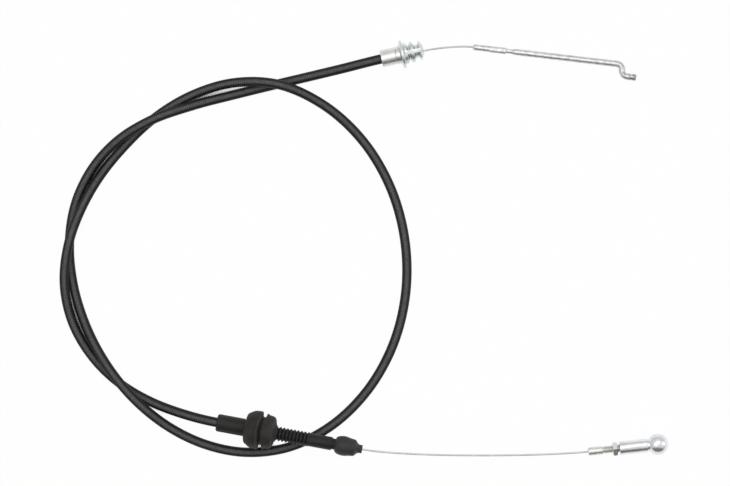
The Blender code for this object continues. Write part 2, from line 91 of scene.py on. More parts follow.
class Slot(Enum):
    """The record's material slots."""

    JACKET = "jacket"
    WINDING = "winding"
    LINER = "liner"
    WIRE = "wire"
    PLATED = "plated_steel"
    BRIGHT = "bright_steel"
    ZINC = "zinc"
    NYLON = "nylon"
    RUBBER = "rubber"


class Grain(Enum):
    """Size of a surface's fine grain in metres: along the piece, and across it."""

    TURNED = (0.00035, 0.0060)
    DRAWN = (0.0090, 0.00045)
    CAST = (0.0007, 0.0007)
    MOULDED = (0.0005, 0.0016)
    ROLLED = (0.0030, 0.0009)


@dataclass(frozen=True)
class Place:
    """Where a fitting's axis starts, and the way it points across the floor."""

    x: float
    y: float
    z: float
    degrees: float

    @property
    def heading(self) -> Vector:
        """Unit vector along the axis."""
        return Vector((math.cos(math.radians(self.degrees)), math.sin(math.radians(self.degrees)), 0.0))

    @property
    def turn(self) -> Euler:
        """Rotation from the row frame's X axis to this axis."""
        return Euler((0.0, 0.0, math.radians(self.degrees)))

    def matrix(self) -> Matrix:
        """Placement of a mesh that was made along X from the origin."""
        return Matrix.LocRotScale(Vector((self.x, self.y, self.z)), self.turn, None)

    def point(self, station: float, aside: float = 0.0) -> Vector:
        """Point at a station along the axis.

        Args:
            station: Distance along the axis from its start.
            aside: Distance to the left of the axis.

        Returns:
            The point in the row frame.
        """
        return self.matrix() @ Vector((station, aside, 0.0))


@dataclass(frozen=True)
class Layout:
    """Where the four fittings lie, and the points that the conduit runs through between two of them."""

    upper: Place = Place(0.010581, 0.116602, 0.00855, 12.6)
    lower: Place = Place(-0.089699, -0.106300, 0.01180, -10.5)
    rod: Place = Place(0.067115, 0.124311, 0.00200, -6.68)
    stud: Place = Place(0.137595, -0.124490, 0.00650, 6.1)
    route: tuple[Point, ...] = (
        (-0.01466, 0.11048, 0.00582), (-0.03803, 0.10503, 0.00312), (-0.05455, 0.10113, 0.00300),
        (-0.07886, 0.09517, 0.00300), (-0.10492, 0.08820, 0.00636), (-0.13124, 0.07865, 0.00978),
        (-0.15005, 0.06735, 0.00822), (-0.16601, 0.05091, 0.00444), (-0.17689, 0.02963, 0.00318),
        (-0.18123, 0.00307, 0.00300), (-0.17910, -0.02080, 0.00318), (-0.17274, -0.04287, 0.00402),
        (-0.16220, -0.06438, 0.00768), (-0.14829, -0.08390, 0.00966), (-0.13438, -0.09827, 0.00798),
        (-0.11841, -0.11028, 0.00498), (-0.09867, -0.11988, 0.00300), (-0.07429, -0.12500, 0.00300),
        (-0.04756, -0.12226, 0.00300), (-0.02071, -0.10918, 0.00300), (0.00093, -0.08856, 0.00300),
        (0.01742, -0.06011, 0.00300), (0.02554, -0.02822, 0.00300), (0.02524, 0.00469, 0.00300),
        (0.01686, 0.03652, 0.00300), (-0.00142, 0.06738, 0.00300), (-0.02513, 0.08869, 0.00588),
        (-0.05461, 0.10137, 0.00972), (-0.08060, 0.10197, 0.00672), (-0.10677, 0.09409, 0.00348),
        (-0.13126, 0.07870, 0.00300), (-0.14705, 0.06360, 0.00318), (-0.16073, 0.04716, 0.00378),
        (-0.17197, 0.02807, 0.00732), (-0.18117, 0.00307, 0.00966), (-0.18388, -0.02168, 0.00768),
        (-0.17912, -0.04534, 0.00408), (-0.16648, -0.06693, 0.00318), (-0.14843, -0.08401, 0.00300),
        (-0.13131, -0.09384, 0.00378), (-0.11254, -0.10075, 0.00798),
    )


LAYOUT = Layout()


def smooth_curve(points: list[Vector], first: Vector, last: Vector, steps: int = 24) -> list[Vector]:
    """Cubic curve through points.

    Args:
        points: Points that it passes through.
        first: Tangent at the first point.
        last: Tangent at the last point.
        steps: Points made for each span.

    Returns:
        Points of the curve.
    """
    spans = [(b - a).length for a, b in zip(points, points[1:])]
    slopes = [(b - a) / span for a, b, span in zip(points, points[1:], spans)]
    tangents = [first]
    for i in range(1, len(points) - 1):
        before, after = spans[i - 1], spans[i]
        tangents.append((slopes[i - 1] * after + slopes[i] * before) / (before + after))
    tangents.append(last)
    curve = []
    for i, span in enumerate(spans):
        for k in range(steps):
            u = k / steps
            curve.append(
                (2.0 * u**3 - 3.0 * u**2 + 1.0) * points[i]
                + (u**3 - 2.0 * u**2 + u) * span * tangents[i]
                + (3.0 * u**2 - 2.0 * u**3) * points[i + 1]
                + (u**3 - u**2) * span * tangents[i + 1]
            )
    return curve + [points[-1]]


class Wiring:
    """Adds nodes to one tree, shader or geometry, and links their sockets."""

    def __init__(self, tree: bpy.types.NodeTree) -> None:
        """Keep the tree that nodes are added to."""
        self.tree = tree

    def add(self, kind: str, feeds: dict | None = None, **settings: object) -> bpy.types.Node:
        """Add one node.

        Args:
            kind: The node's type name.
            feeds: Value or linked socket for each named input.
            settings: Properties of the node itself.

        Returns:
            The new node.
        """
        node = self.tree.nodes.new(kind)
        for name, value in settings.items():
            setattr(node, name, value)
        for name, value in (feeds or {}).items():
            self.feed(next(s for s in node.inputs if s.name == name and s.enabled), value)
        return node

    def feed(self, socket: bpy.types.NodeSocket, value: object) -> None:
        """Link an input to another node's output, or set its plain value.

        Args:
            socket: The input.
            value: Output that it is linked to, or its value.
        """
        if isinstance(value, bpy.types.NodeSocket):
            self.tree.links.new(value, socket)
        else:
            socket.default_value = value

    def math(self, operation: str, a: object, b: object = 0.0, clamp: bool = False) -> bpy.types.NodeSocket:
        """Add a Math node.

        Args:
            operation: What it does.
            a: First value or socket.
            b: Second value or socket.
            clamp: Whether the result is kept from 0 to 1.

        Returns:
            Its result.
        """
        node = self.add("ShaderNodeMath", None, operation=operation, use_clamp=clamp)
        for socket, value in zip(node.inputs, (a, b)):
            self.feed(socket, value)
        return node.outputs[0]

    def vector(self, operation: str, a: object, b: object) -> bpy.types.NodeSocket:
        """Add a Vector Math node.

        Args:
            operation: What it does.
            a: First vector or socket.
            b: Second vector, or the factor of SCALE.

        Returns:
            Its result.
        """
        node = self.add("ShaderNodeVectorMath", None, operation=operation)
        self.feed(node.inputs[0], a)
        self.feed(node.inputs["Scale" if operation == "SCALE" else 1], b)
        return node.outputs[0]

    def spread(self, value: object, low: float, high: float, to_low: float, to_high: float) -> bpy.types.NodeSocket:
        """Map a value from one range to another, kept inside it.

        Args:
            value: Socket to map.
            low: Value that becomes to_low.
            high: Value that becomes to_high.
            to_low: Result at low.
            to_high: Result at high.

        Returns:
            The mapped value.
        """
        feeds = {"Value": value, "From Min": low, "From Max": high, "To Min": to_low, "To Max": to_high}
        return self.add("ShaderNodeMapRange", feeds).outputs[0]

    def mix(self, share: object, a: object, b: object) -> bpy.types.NodeSocket:
        """Mix two colours.

        Args:
            share: Share of the second colour.
            a: First colour or socket.
            b: Second colour or socket.

        Returns:
            The mixed colour.
        """
        first, second = ((*value, 1.0) if isinstance(value, tuple) else value for value in (a, b))
        node = self.add("ShaderNodeMix", {"Factor": share, "A": first, "B": second}, data_type="RGBA")
        return next(s for s in node.outputs if s.enabled)


def blank(block: bpy.types.Material | bpy.types.World) -> Wiring:
    """Turn on the nodes of a material or a world and empty its tree.

    Args:
        block: The material or the world.

    Returns:
        Its tree, ready to be wired.
    """
    block.use_nodes = True
    block.node_tree.nodes.clear()
    return Wiring(block.node_tree)


def put_in_scene(name: str, data: bpy.types.ID) -> bpy.types.Object:
    """Make an object and link it to the scene.

    Args:
        name: Its name.
        data: Its mesh, camera or light.

    Returns:
        The object.
    """
    made = bpy.data.objects.new(name, data)
    bpy.context.scene.collection.objects.link(made)
    return made


@dataclass(frozen=True)
class Finish:
    """One surface: its colour and how it varies, its grain, and its wear.

    A fitting's patterns run along its own axis. A swept piece's patterns follow its path. Wear comes in
    flecks, and between_flecks is the share of it that is left between them. On the conduit's jacket the wear colour
    is a painted highlight along its top.
    """

    name: str
    slot: Slot
    colour: Colour
    patch: Colour
    metallic: float
    roughness: float
    roughness_spread: float
    grain: Grain
    relief: float
    worn_and_highlight: Colour
    grime: Colour
    worn_and_highlight_share: float = 0.5
    between_flecks: float = 0.25
    grime_share: float = 0.6
    patch_size: float = 0.006
    rings: float = 0.0
    mottled_from: float | None = None
    mottled_over: float = 0.012
    mottle: Colour = (0.2, 0.2, 0.2)
    sheen: float = 0.0
    shine: float = 0.5

    def along(self, wiring: Wiring, place: Place | None) -> bpy.types.NodeSocket:
        """Coordinates with X along the piece.

        Args:
            wiring: The material's nodes.
            place: The fitting's axis, or None for a swept piece.

        Returns:
            The coordinates, in metres.
        """
        if place is None:
            return wiring.add("ShaderNodeAttribute", None, attribute_name=RUN).outputs["Vector"]
        coordinates = wiring.add("ShaderNodeTexCoord").outputs["Object"]
        back = place.matrix().inverted()
        feeds = {"Vector": coordinates, "Location": back.translation, "Rotation": back.to_euler()}
        return wiring.add("ShaderNodeMapping", feeds).outputs[0]

    def noise(self, wiring: Wiring, where: bpy.types.NodeSocket, along: float, across: float,
              detail: float = 3.0) -> bpy.types.NodeSocket:
        """Noise stretched along the piece.

        Args:
            wiring: The material's nodes.
            where: Coordinates with X along the piece.
            along: Size of its features along X, in metres.
            across: Their size across.
            detail: Octaves.

        Returns:
            A value from 0 to 1.
        """
        stretched = wiring.vector("MULTIPLY", where, (1.0 / along, 1.0 / across, 1.0 / across))
        feeds = {"Vector": stretched, "Scale": 1.0, "Detail": detail, "Roughness": 0.55}
        return wiring.add("ShaderNodeTexNoise", feeds).outputs["Fac"]

    def tint(self, wiring: Wiring, where: bpy.types.NodeSocket) -> bpy.types.NodeSocket:
        """Base colour: patches, streaks, wear and grime, and on the jacket a painted highlight along its top.

        Args:
            wiring: The material's nodes.
            where: Coordinates with X along the piece.

        Returns:
            The colour.
        """
        patches = self.noise(wiring, where, self.patch_size * 1.6, self.patch_size, 4.0)
        colour = wiring.mix(wiring.spread(patches, 0.38, 0.66, 0.0, 1.0), self.colour, self.patch)
        wear_and_highlight_mask = wiring.add("ShaderNodeAttribute", None, attribute_name=WEAR_AND_HIGHLIGHT).outputs["Fac"]
        flecks = self.noise(wiring, where, 0.0016, 0.0009)
        # wear colour on crests and convex corners; on the jacket this lays the painted highlight along its top
        rub_and_highlight = wiring.math("MULTIPLY", wiring.spread(wear_and_highlight_mask, 0.25, 1.0, 0.0, self.worn_and_highlight_share),
                          wiring.spread(flecks, 0.35, 0.62, self.between_flecks, 1.0))
        colour = wiring.mix(rub_and_highlight, colour, self.worn_and_highlight)
        colour = wiring.mix(wiring.spread(wear_and_highlight_mask, -1.0, -0.1, self.grime_share, 0.0), colour, self.grime)
        if self.mottled_from is None:
            return colour
        station = wiring.add("ShaderNodeSeparateXYZ", {"Vector": where}).outputs[0]
        reach = wiring.spread(station, self.mottled_from, self.mottled_from + self.mottled_over, 0.0, 1.0)
        blots = wiring.spread(self.noise(wiring, where, 0.0018, 0.0014), 0.44, 0.60, 0.0, 0.75)
        return wiring.mix(wiring.math("MULTIPLY", reach, blots), colour, self.mottle)

    def dress(self, place: Place | None = None) -> bpy.types.Material:
        """Build the material.

        Args:
            place: The fitting's axis, or None for a swept piece.

        Returns:
            The material.
        """
        material = bpy.data.materials.new(self.name)
        wiring = blank(material)
        where = self.along(wiring, place)
        grain = self.noise(wiring, where, *self.grain.value)
        broad = self.noise(wiring, where, self.patch_size, self.patch_size * 0.7)
        height = wiring.math("ADD", wiring.math("MULTIPLY", grain, 0.7), wiring.math("MULTIPLY", broad, 0.3))
        if self.rings > 0.0:
            station = wiring.add("ShaderNodeSeparateXYZ", {"Vector": where}).outputs[0]
            wave = wiring.math("SINE", wiring.math("MULTIPLY", station, math.tau / self.rings))
            height = wiring.math("ADD", height, wiring.math("MULTIPLY", wave, 0.35))
        mixed = wiring.math("ADD", wiring.math("MULTIPLY", grain, 0.6), wiring.math("MULTIPLY", broad, 0.4))
        bump = wiring.add("ShaderNodeBump", {"Height": height, "Distance": self.relief, "Strength": 1.0})
        shader = wiring.add("ShaderNodeBsdfPrincipled", {
            "Base Color": self.tint(wiring, where),
            "Metallic": self.metallic,
            "Roughness": wiring.spread(mixed, 0.36, 0.64, self.roughness - self.roughness_spread,
                                       self.roughness + self.roughness_spread),
            "Normal": bump.outputs[0],
            "Sheen Weight": self.sheen,
            "Specular IOR Level": self.shine,
        })
        wiring.add("ShaderNodeOutputMaterial", {"Surface": shader.outputs[0]})
        material.diffuse_color = (*self.colour, 1.0)
        return material


# The jacket's wear colour is a painted highlight along its top, many times lighter than its black.
JACKET = Finish("black jacket over spiral", Slot.JACKET, (0.0075, 0.0070, 0.0068), (0.012, 0.0112, 0.0108), 0.0,
                0.50, 0.07, Grain.DRAWN, 0.000012, (0.205, 0.198, 0.195), (0.0035, 0.0034, 0.0034),
                worn_and_highlight_share=0.85, between_flecks=0.60, patch_size=0.009, shine=0.18)
STRAND = Finish("galvanised strands", Slot.WIRE, (0.72, 0.73, 0.73), (0.60, 0.61, 0.61), 1.0,
                0.45, 0.08, Grain.DRAWN, 0.000006, (0.76, 0.76, 0.76), (0.36, 0.36, 0.36), grime_share=0.3)
WINDING = Finish("oiled spring steel", Slot.WINDING, (0.35, 0.35, 0.36), (0.26, 0.26, 0.27), 1.0,
                 0.36, 0.08, Grain.ROLLED, 0.000010, (0.5, 0.5, 0.5), (0.1, 0.1, 0.1))
LINER = Finish("natural liner", Slot.LINER, (0.75, 0.75, 0.72), (0.68, 0.68, 0.64), 0.0,
               0.45, 0.06, Grain.DRAWN, 0.000008, (0.8, 0.8, 0.78), (0.5, 0.5, 0.46))
FERRULE = Finish("plated ferrule", Slot.PLATED, (0.84, 0.845, 0.835), (0.74, 0.75, 0.735), 1.0,
                 0.34, 0.07, Grain.TURNED, 0.000010, (0.92, 0.92, 0.91), (0.30, 0.31, 0.29))
ZINC = Finish("die-cast zinc", Slot.ZINC, (0.78, 0.815, 0.795), (0.64, 0.68, 0.655), 1.0,
              0.34, 0.09, Grain.CAST, 0.000030, (0.92, 0.93, 0.925), (0.20, 0.21, 0.20),
              patch_size=0.0035, grime_share=0.4)
ROD = Finish("galvanised rod", Slot.PLATED, (0.78, 0.785, 0.79), (0.55, 0.555, 0.56), 1.0,
             0.38, 0.08, Grain.ROLLED, 0.000030, (0.90, 0.90, 0.90), (0.28, 0.28, 0.28),
             patch_size=0.0018, mottled_from=0.086, mottle=(0.20, 0.20, 0.20))
CRIMP = Finish("plated stud", Slot.PLATED, (0.83, 0.83, 0.815), (0.62, 0.62, 0.60), 1.0,
               0.38, 0.08, Grain.DRAWN, 0.000020, (0.92, 0.92, 0.91), (0.20, 0.20, 0.19),
               patch_size=0.0017)
THREAD = Finish("plated thread", Slot.PLATED, (0.80, 0.80, 0.765), (0.68, 0.68, 0.64), 1.0,
                0.32, 0.07, Grain.ROLLED, 0.000008, (0.90, 0.90, 0.87), (0.34, 0.34, 0.31),
                grime_share=0.45, patch_size=0.0030)
NUT = Finish("passivated nut", Slot.BRIGHT, (0.90, 0.92, 0.88), (0.80, 0.825, 0.78), 1.0,
             0.24, 0.07, Grain.CAST, 0.000012, (0.93, 0.94, 0.92), (0.22, 0.22, 0.20),
             patch_size=0.0025)
BALL = Finish("bright plated ball end", Slot.BRIGHT, (0.85, 0.86, 0.88), (0.74, 0.75, 0.775), 1.0,
              0.25, 0.06, Grain.TURNED, 0.000006, (0.94, 0.94, 0.95), (0.26, 0.26, 0.27),
              patch_size=0.0040)
NYLON = Finish("moulded black nylon", Slot.NYLON, (0.0125, 0.0125, 0.0115), (0.018, 0.018, 0.0165), 0.0,
               0.50, 0.07, Grain.MOULDED, 0.000030, (0.055, 0.055, 0.052), (0.005, 0.005, 0.005),
               worn_and_highlight_share=0.4, shine=0.28)
RIBS = Finish("ribbed black nylon", Slot.NYLON, (0.0105, 0.0100, 0.0112), (0.015, 0.0140, 0.0155), 0.0,
              0.48, 0.07, Grain.MOULDED, 0.000020, (0.036, 0.034, 0.036), (0.003, 0.003, 0.0035),
              worn_and_highlight_share=0.4, grime_share=0.85, shine=0.26)
RUBBER = Finish("matt rubber", Slot.RUBBER, (0.0165, 0.0158, 0.0140), (0.034, 0.0310, 0.0265), 0.0,
                0.68, 0.08, Grain.MOULDED, 0.000070, (0.085, 0.079, 0.070), (0.007, 0.0065, 0.006),
                worn_and_highlight_share=0.6, rings=0.0009, sheen=0.02, shine=0.28)
CAP_RUBBER = Finish("soft cap rubber", Slot.RUBBER, (0.023, 0.023, 0.025), (0.031, 0.031, 0.033), 0.0,
                    0.52, 0.08, Grain.MOULDED, 0.000040, (0.070, 0.070, 0.073), (0.010, 0.010, 0.011),
                    worn_and_highlight_share=0.35, sheen=0.02, shine=0.36)


@dataclass(frozen=True)
class Ridges:
    """Ridges round a swept piece.

    With no starts they are separate rings, and with one or more they wind round it. A sharpness of 1
    gives sloped flanks all the way, and more gives flat crests. Roundness above 1 rounds the crests.
    """

    spacing: float
    depth: float
    starts: int = 0
    sharpness: float = 1.0
    roundness: float = 1.0


class RidgedSweep:
    """Geometry Nodes tree that sweeps a round section with ridges along a path."""

    SIZES = ("Radius", "Ridge spacing", "Ridge depth", "Sharpness", "Roundness", "Ring step")
    COUNTS = ("Starts", "Sides")

    def __init__(self) -> None:
        """Build the tree with its named inputs."""
        self.tree = bpy.data.node_groups.new("ridged sweep", "GeometryNodeTree")
        self.tree.is_modifier = True
        self.sockets: dict[str, str] = {}
        self._socket("Path", "NodeSocketGeometry")
        for name in self.SIZES:
            self._socket(name, "NodeSocketFloat")
        for name in self.COUNTS:
            self._socket(name, "NodeSocketInt")
        self._socket("Finish", "NodeSocketMaterial")
        self.tree.interface.new_socket(name="Swept", in_out="OUTPUT", socket_type="NodeSocketGeometry")
        self._wire(Wiring(self.tree))

    def _socket(self, name: str, kind: str) -> None:
        """Add one input and keep its identifier."""
        made = self.tree.interface.new_socket(name=name, in_out="INPUT", socket_type=kind)
        self.sockets[name] = made.identifier

    def _wire(self, wiring: Wiring) -> None:
        """Add the nodes.

        Args:
            wiring: The tree's nodes.
        """
        given = wiring.add("NodeGroupInput").outputs
        line = wiring.add("GeometryNodeMeshToCurve", {"Mesh": given["Path"]})
        line = wiring.add("GeometryNodeResampleCurve", {"Curve": line.outputs[0]}, mode="LENGTH")
        wiring.feed(line.inputs["Length"], given["Ring step"])
        kept = wiring.add("GeometryNodeCaptureAttribute", {"Geometry": line.outputs[0]}, domain="POINT")
        kept.capture_items.new("FLOAT", "Along")
        kept.capture_items.new("VECTOR", "Centre")
        wiring.feed(kept.inputs["Along"], wiring.add("GeometryNodeSplineParameter").outputs["Length"])
        wiring.feed(kept.inputs["Centre"], wiring.add("GeometryNodeInputPosition").outputs[0])
        circle = wiring.add("GeometryNodeCurvePrimitiveCircle",
                            {"Resolution": given["Sides"], "Radius": given["Radius"]})
        round_it = wiring.add("GeometryNodeCaptureAttribute", {"Geometry": circle.outputs[0]}, domain="POINT")
        round_it.capture_items.new("FLOAT", "Turn")
        wiring.feed(round_it.inputs["Turn"], wiring.add("GeometryNodeSplineParameter").outputs["Factor"])
        swept = wiring.add("GeometryNodeCurveToMesh", {
            "Curve": kept.outputs[0], "Profile Curve": round_it.outputs[0], "Fill Caps": True,
        })
        along, turn = kept.outputs["Along"], round_it.outputs["Turn"]
        ridge = self._ridge(wiring, given, along, turn)
        centre = kept.outputs["Centre"]
        out = wiring.vector("SUBTRACT", wiring.add("GeometryNodeInputPosition").outputs[0], centre)
        cut = wiring.math("MULTIPLY", wiring.math("SUBTRACT", 1.0, ridge), given["Ridge depth"])
        share = wiring.math("SUBTRACT", 1.0, wiring.math("DIVIDE", cut, given["Radius"]))
        back = wiring.vector("ADD", wiring.vector("SCALE", out, share), centre)
        made = wiring.add("GeometryNodeSetPosition",
                          {"Geometry": swept.outputs[0], "Position": back}).outputs[0]
        worn_and_highlight = wiring.math("SUBTRACT", wiring.math("MULTIPLY", ridge, 2.0), 1.0)
        made = self._store(wiring, made, WEAR_AND_HIGHLIGHT, "FLOAT", worn_and_highlight)
        angle = wiring.math("MULTIPLY", turn, math.tau)
        across = wiring.math("MULTIPLY", given["Radius"], wiring.math("COSINE", angle))
        up = wiring.math("MULTIPLY", given["Radius"], wiring.math("SINE", angle))
        unrolled = wiring.add("ShaderNodeCombineXYZ", {"X": along, "Y": across, "Z": up}).outputs[0]
        made = self._store(wiring, made, RUN, "FLOAT_VECTOR", unrolled)
        made = wiring.add("GeometryNodeRealizeInstances", {"Geometry": made}).outputs[0]
        made = wiring.add("GeometryNodeSetMaterial", {"Geometry": made, "Material": given["Finish"]})
        wiring.feed(wiring.add("NodeGroupOutput").inputs[0], made.outputs[0])

    def _ridge(self, wiring: Wiring, given: object, along: bpy.types.NodeSocket,
               turn: bpy.types.NodeSocket) -> bpy.types.NodeSocket:
        """Height of the ridges at each point.

        Args:
            wiring: The tree's nodes.
            given: The tree's inputs.
            along: Length along the path.
            turn: Share of a turn round it.

        Returns:
            0 in a valley and 1 on a crest.
        """
        phase = wiring.math("ADD", wiring.math("DIVIDE", along, given["Ridge spacing"]),
                            wiring.math("MULTIPLY", turn, given["Starts"]))
        saw = wiring.math("MULTIPLY", wiring.math("FRACT", phase), 2.0)
        flanks = wiring.math("ABSOLUTE", wiring.math("SUBTRACT", saw, 1.0))
        steep = wiring.math("MULTIPLY", wiring.math("SUBTRACT", flanks, 0.5), given["Sharpness"])
        level = wiring.math("ADD", steep, 0.5, clamp=True)
        rounded = wiring.math("POWER", wiring.math("SUBTRACT", 1.0, level), given["Roundness"])
        return wiring.math("SUBTRACT", 1.0, rounded)

    def _store(self, wiring: Wiring, geometry: bpy.types.NodeSocket, name: str, kind: str,
               value: bpy.types.NodeSocket) -> bpy.types.NodeSocket:
        """Keep a value on the swept points.

        Args:
            wiring: The tree's nodes.
            geometry: The swept geometry.
            name: Name of the attribute.
            kind: Its data type.
            value: Its value.

        Returns:
            The geometry with the attribute.
        """
        feeds = {"Geometry": geometry, "Name": name, "Value": value}
        return wiring.add("GeometryNodeStoreNamedAttribute", feeds, data_type=kind, domain="POINT").outputs[0]

    def sweep(self, name: str, path: list[Vector], radius: float, sides: int, ring_step: float,
              ridges: Ridges, material: bpy.types.Material) -> bpy.types.Object:
        """Sweep one piece and turn it into a plain mesh.

        Args:
            name: The piece's name.
            path: Centre points, in the row frame.
            radius: Radius over the crests.
            sides: Points round it.
            ring_step: Distance between its rings.
            ridges: Its ridges.
            material: Its material.

        Returns:
            The piece.
        """
        line = bpy.data.meshes.new(name + "_path")
        line.from_pydata([tuple(p) for p in path], [(i, i + 1) for i in range(len(path) - 1)], [])
        carrier = put_in_scene(name + "_path", line)
        modifier = carrier.modifiers.new("Sweep", "NODES")
        modifier.node_group = self.tree
        values = {
            "Radius": radius, "Ridge spacing": ridges.spacing, "Ridge depth": ridges.depth,
            "Sharpness": ridges.sharpness, "Roundness": ridges.roundness, "Ring step": ring_step,
            "Starts": ridges.starts, "Sides": sides, "Finish": material,
        }
        for key, value in values.items():
            modifier[self.sockets[key]] = value
        graph = bpy.context.evaluated_depsgraph_get()
        mesh = bpy.data.meshes.new_from_object(carrier.evaluated_get(graph), depsgraph=graph)
        bpy.data.objects.remove(carrier)
        bpy.data.meshes.remove(line)
        return piece_from(name, mesh, material)


def piece_from(name: str, mesh: bpy.types.Mesh, material: bpy.types.Material,
               sharp_degrees: float = 38.0) -> bpy.types.Object:
    """Close, smooth and dress a mesh whose place is in its vertices.

    Args:
        name: The piece's name.
        mesh: Its mesh, in the row frame.
        material: Its material.
        sharp_degrees: Angle past which an edge stays sharp.

    Returns:
        The piece, at the origin.
    """
    build = bmesh.new()
    build.from_mesh(mesh)
    bmesh.ops.remove_doubles(build, verts=build.verts, dist=TINY)
    bmesh.ops.recalc_face_normals(build, faces=build.faces)
    build.to_mesh(mesh)
    build.free()
    mesh.name = name
    mesh.shade_smooth()
    mesh.set_sharp_from_angle(angle=math.radians(sharp_degrees))
    mesh.materials.clear()
    mesh.materials.append(material)
    return put_in_scene(name, mesh)


def eased(corners: list[tuple[float, ...]], steps: int = 4) -> Profile:
    """Round the corners of a closed outline.

    Args:
        corners: Station and radius of each, and how far it is rounded, 0 where that is left out.
        steps: Spans made for each rounded corner.

    Returns:
        Station, radius and wear of each point.
    """
    count = len(corners)
    area = sum(
        corners[i][0] * corners[(i + 1) % count][1] - corners[(i + 1) % count][0] * corners[i][1]
        for i in range(count)
    )
    made: Profile = []
    for i, corner in enumerate(corners):
        here = Vector(corner[:2])
        rounding = corner[2] if len(corner) > 2 else 0.0
        before = Vector(corners[i - 1][:2]) - here
        after = Vector(corners[(i + 1) % count][:2]) - here
        if rounding <= 0.0 or before.length < TINY or after.length < TINY:
            made.append((here.x, here.y, 0.0))
            continue
        reach = min(rounding, MOST_ROUNDED * before.length, MOST_ROUNDED * after.length)
        start, end = here + before.normalized() * reach, here + after.normalized() * reach
        turning = before.x * after.y - before.y * after.x
        wear = -1.0 if turning * area > 0.0 else 1.0
        flat = before.normalized().dot(after.normalized()) < NEARLY_STRAIGHT
        for k in range(steps + 1):
            u = k / steps
            point = (1.0 - u) ** 2 * start + 2.0 * u * (1.0 - u) * here + u**2 * end
            made.append((point.x, max(point.y, 0.0), 0.0 if flat or k in (0, steps) else wear))
    return made


def revolved(name: str, place: Place, profile_at: Callable[[float], Profile], material: bpy.types.Material,
             sides: int = 96, start: float = 0.0) -> bpy.types.Object:
    """Body round an axis, whose outline may change with the angle.

    Args:
        name: The piece's name.
        place: Its axis.
        profile_at: Closed outline at an angle, or one that starts and ends on the axis.
        material: Its material.
        sides: Outlines round it.
        start: Station on the axis where its outline begins.

    Returns:
        The piece.
    """
    rings = [profile_at(math.tau * k / sides) for k in range(sides)]
    points, wear, faces = [], [], []
    for k, outline in enumerate(rings):
        angle = math.tau * k / sides
        for station, radius, worn_and_highlight in outline:
            points.append((station + start, radius * math.cos(angle), radius * math.sin(angle)))
            wear.append(worn_and_highlight)
    count = len(rings[0])
    closed = rings[0][0][1] > TINY
    for k in range(sides):
        near, far = k * count, (k + 1) % sides * count
        for i in range(count if closed else count - 1):
            j = (i + 1) % count
            corners = [near + i, near + j, far + j, far + i]
            if rings[k][i][1] <= TINY:
                corners.remove(far + i)
            if rings[k][j][1] <= TINY:
                corners.remove(far + j)
            if len(corners) > 2:
                faces.append(corners)
    mesh = bpy.data.meshes.new(name)
    mesh.from_pydata([tuple(place.matrix() @ Vector(p)) for p in points], [], faces)
    mesh.attributes.new(WEAR_AND_HIGHLIGHT, "FLOAT", "POINT").data.foreach_set("value", np.array(wear, np.float32))
    return piece_from(name, mesh, material)


def turned(name: str, place: Place, corners: list[tuple[float, ...]], material: bpy.types.Material,
           sides: int = 96, start: float = 0.0) -> bpy.types.Object:
    """Body of one outline turned round an axis.

    Args:
        name: The piece's name.
        place: Its axis.
        corners: Station and radius of each corner of the outline, and how far it is rounded.
        material: Its material.
        sides: Outlines round it.
        start: Station on the axis where its outline begins.

    Returns:
        The piece.
    """
    outline = eased(corners)
    return revolved(name, place, lambda angle: outline, material, sides, start)


def settle(piece: bpy.types.Object, body: str, node: str) -> None:
    """Make a piece ride on a body in place of a CAD node.

    Args:
        piece: The piece.
        body: The body that it rides on.
        node: The CAD node that it replaces.
    """
    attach(piece, body)
    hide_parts(node)
    LOG.info("%s: %d faces, rides on %s", piece.name, len(piece.data.polygons), body)


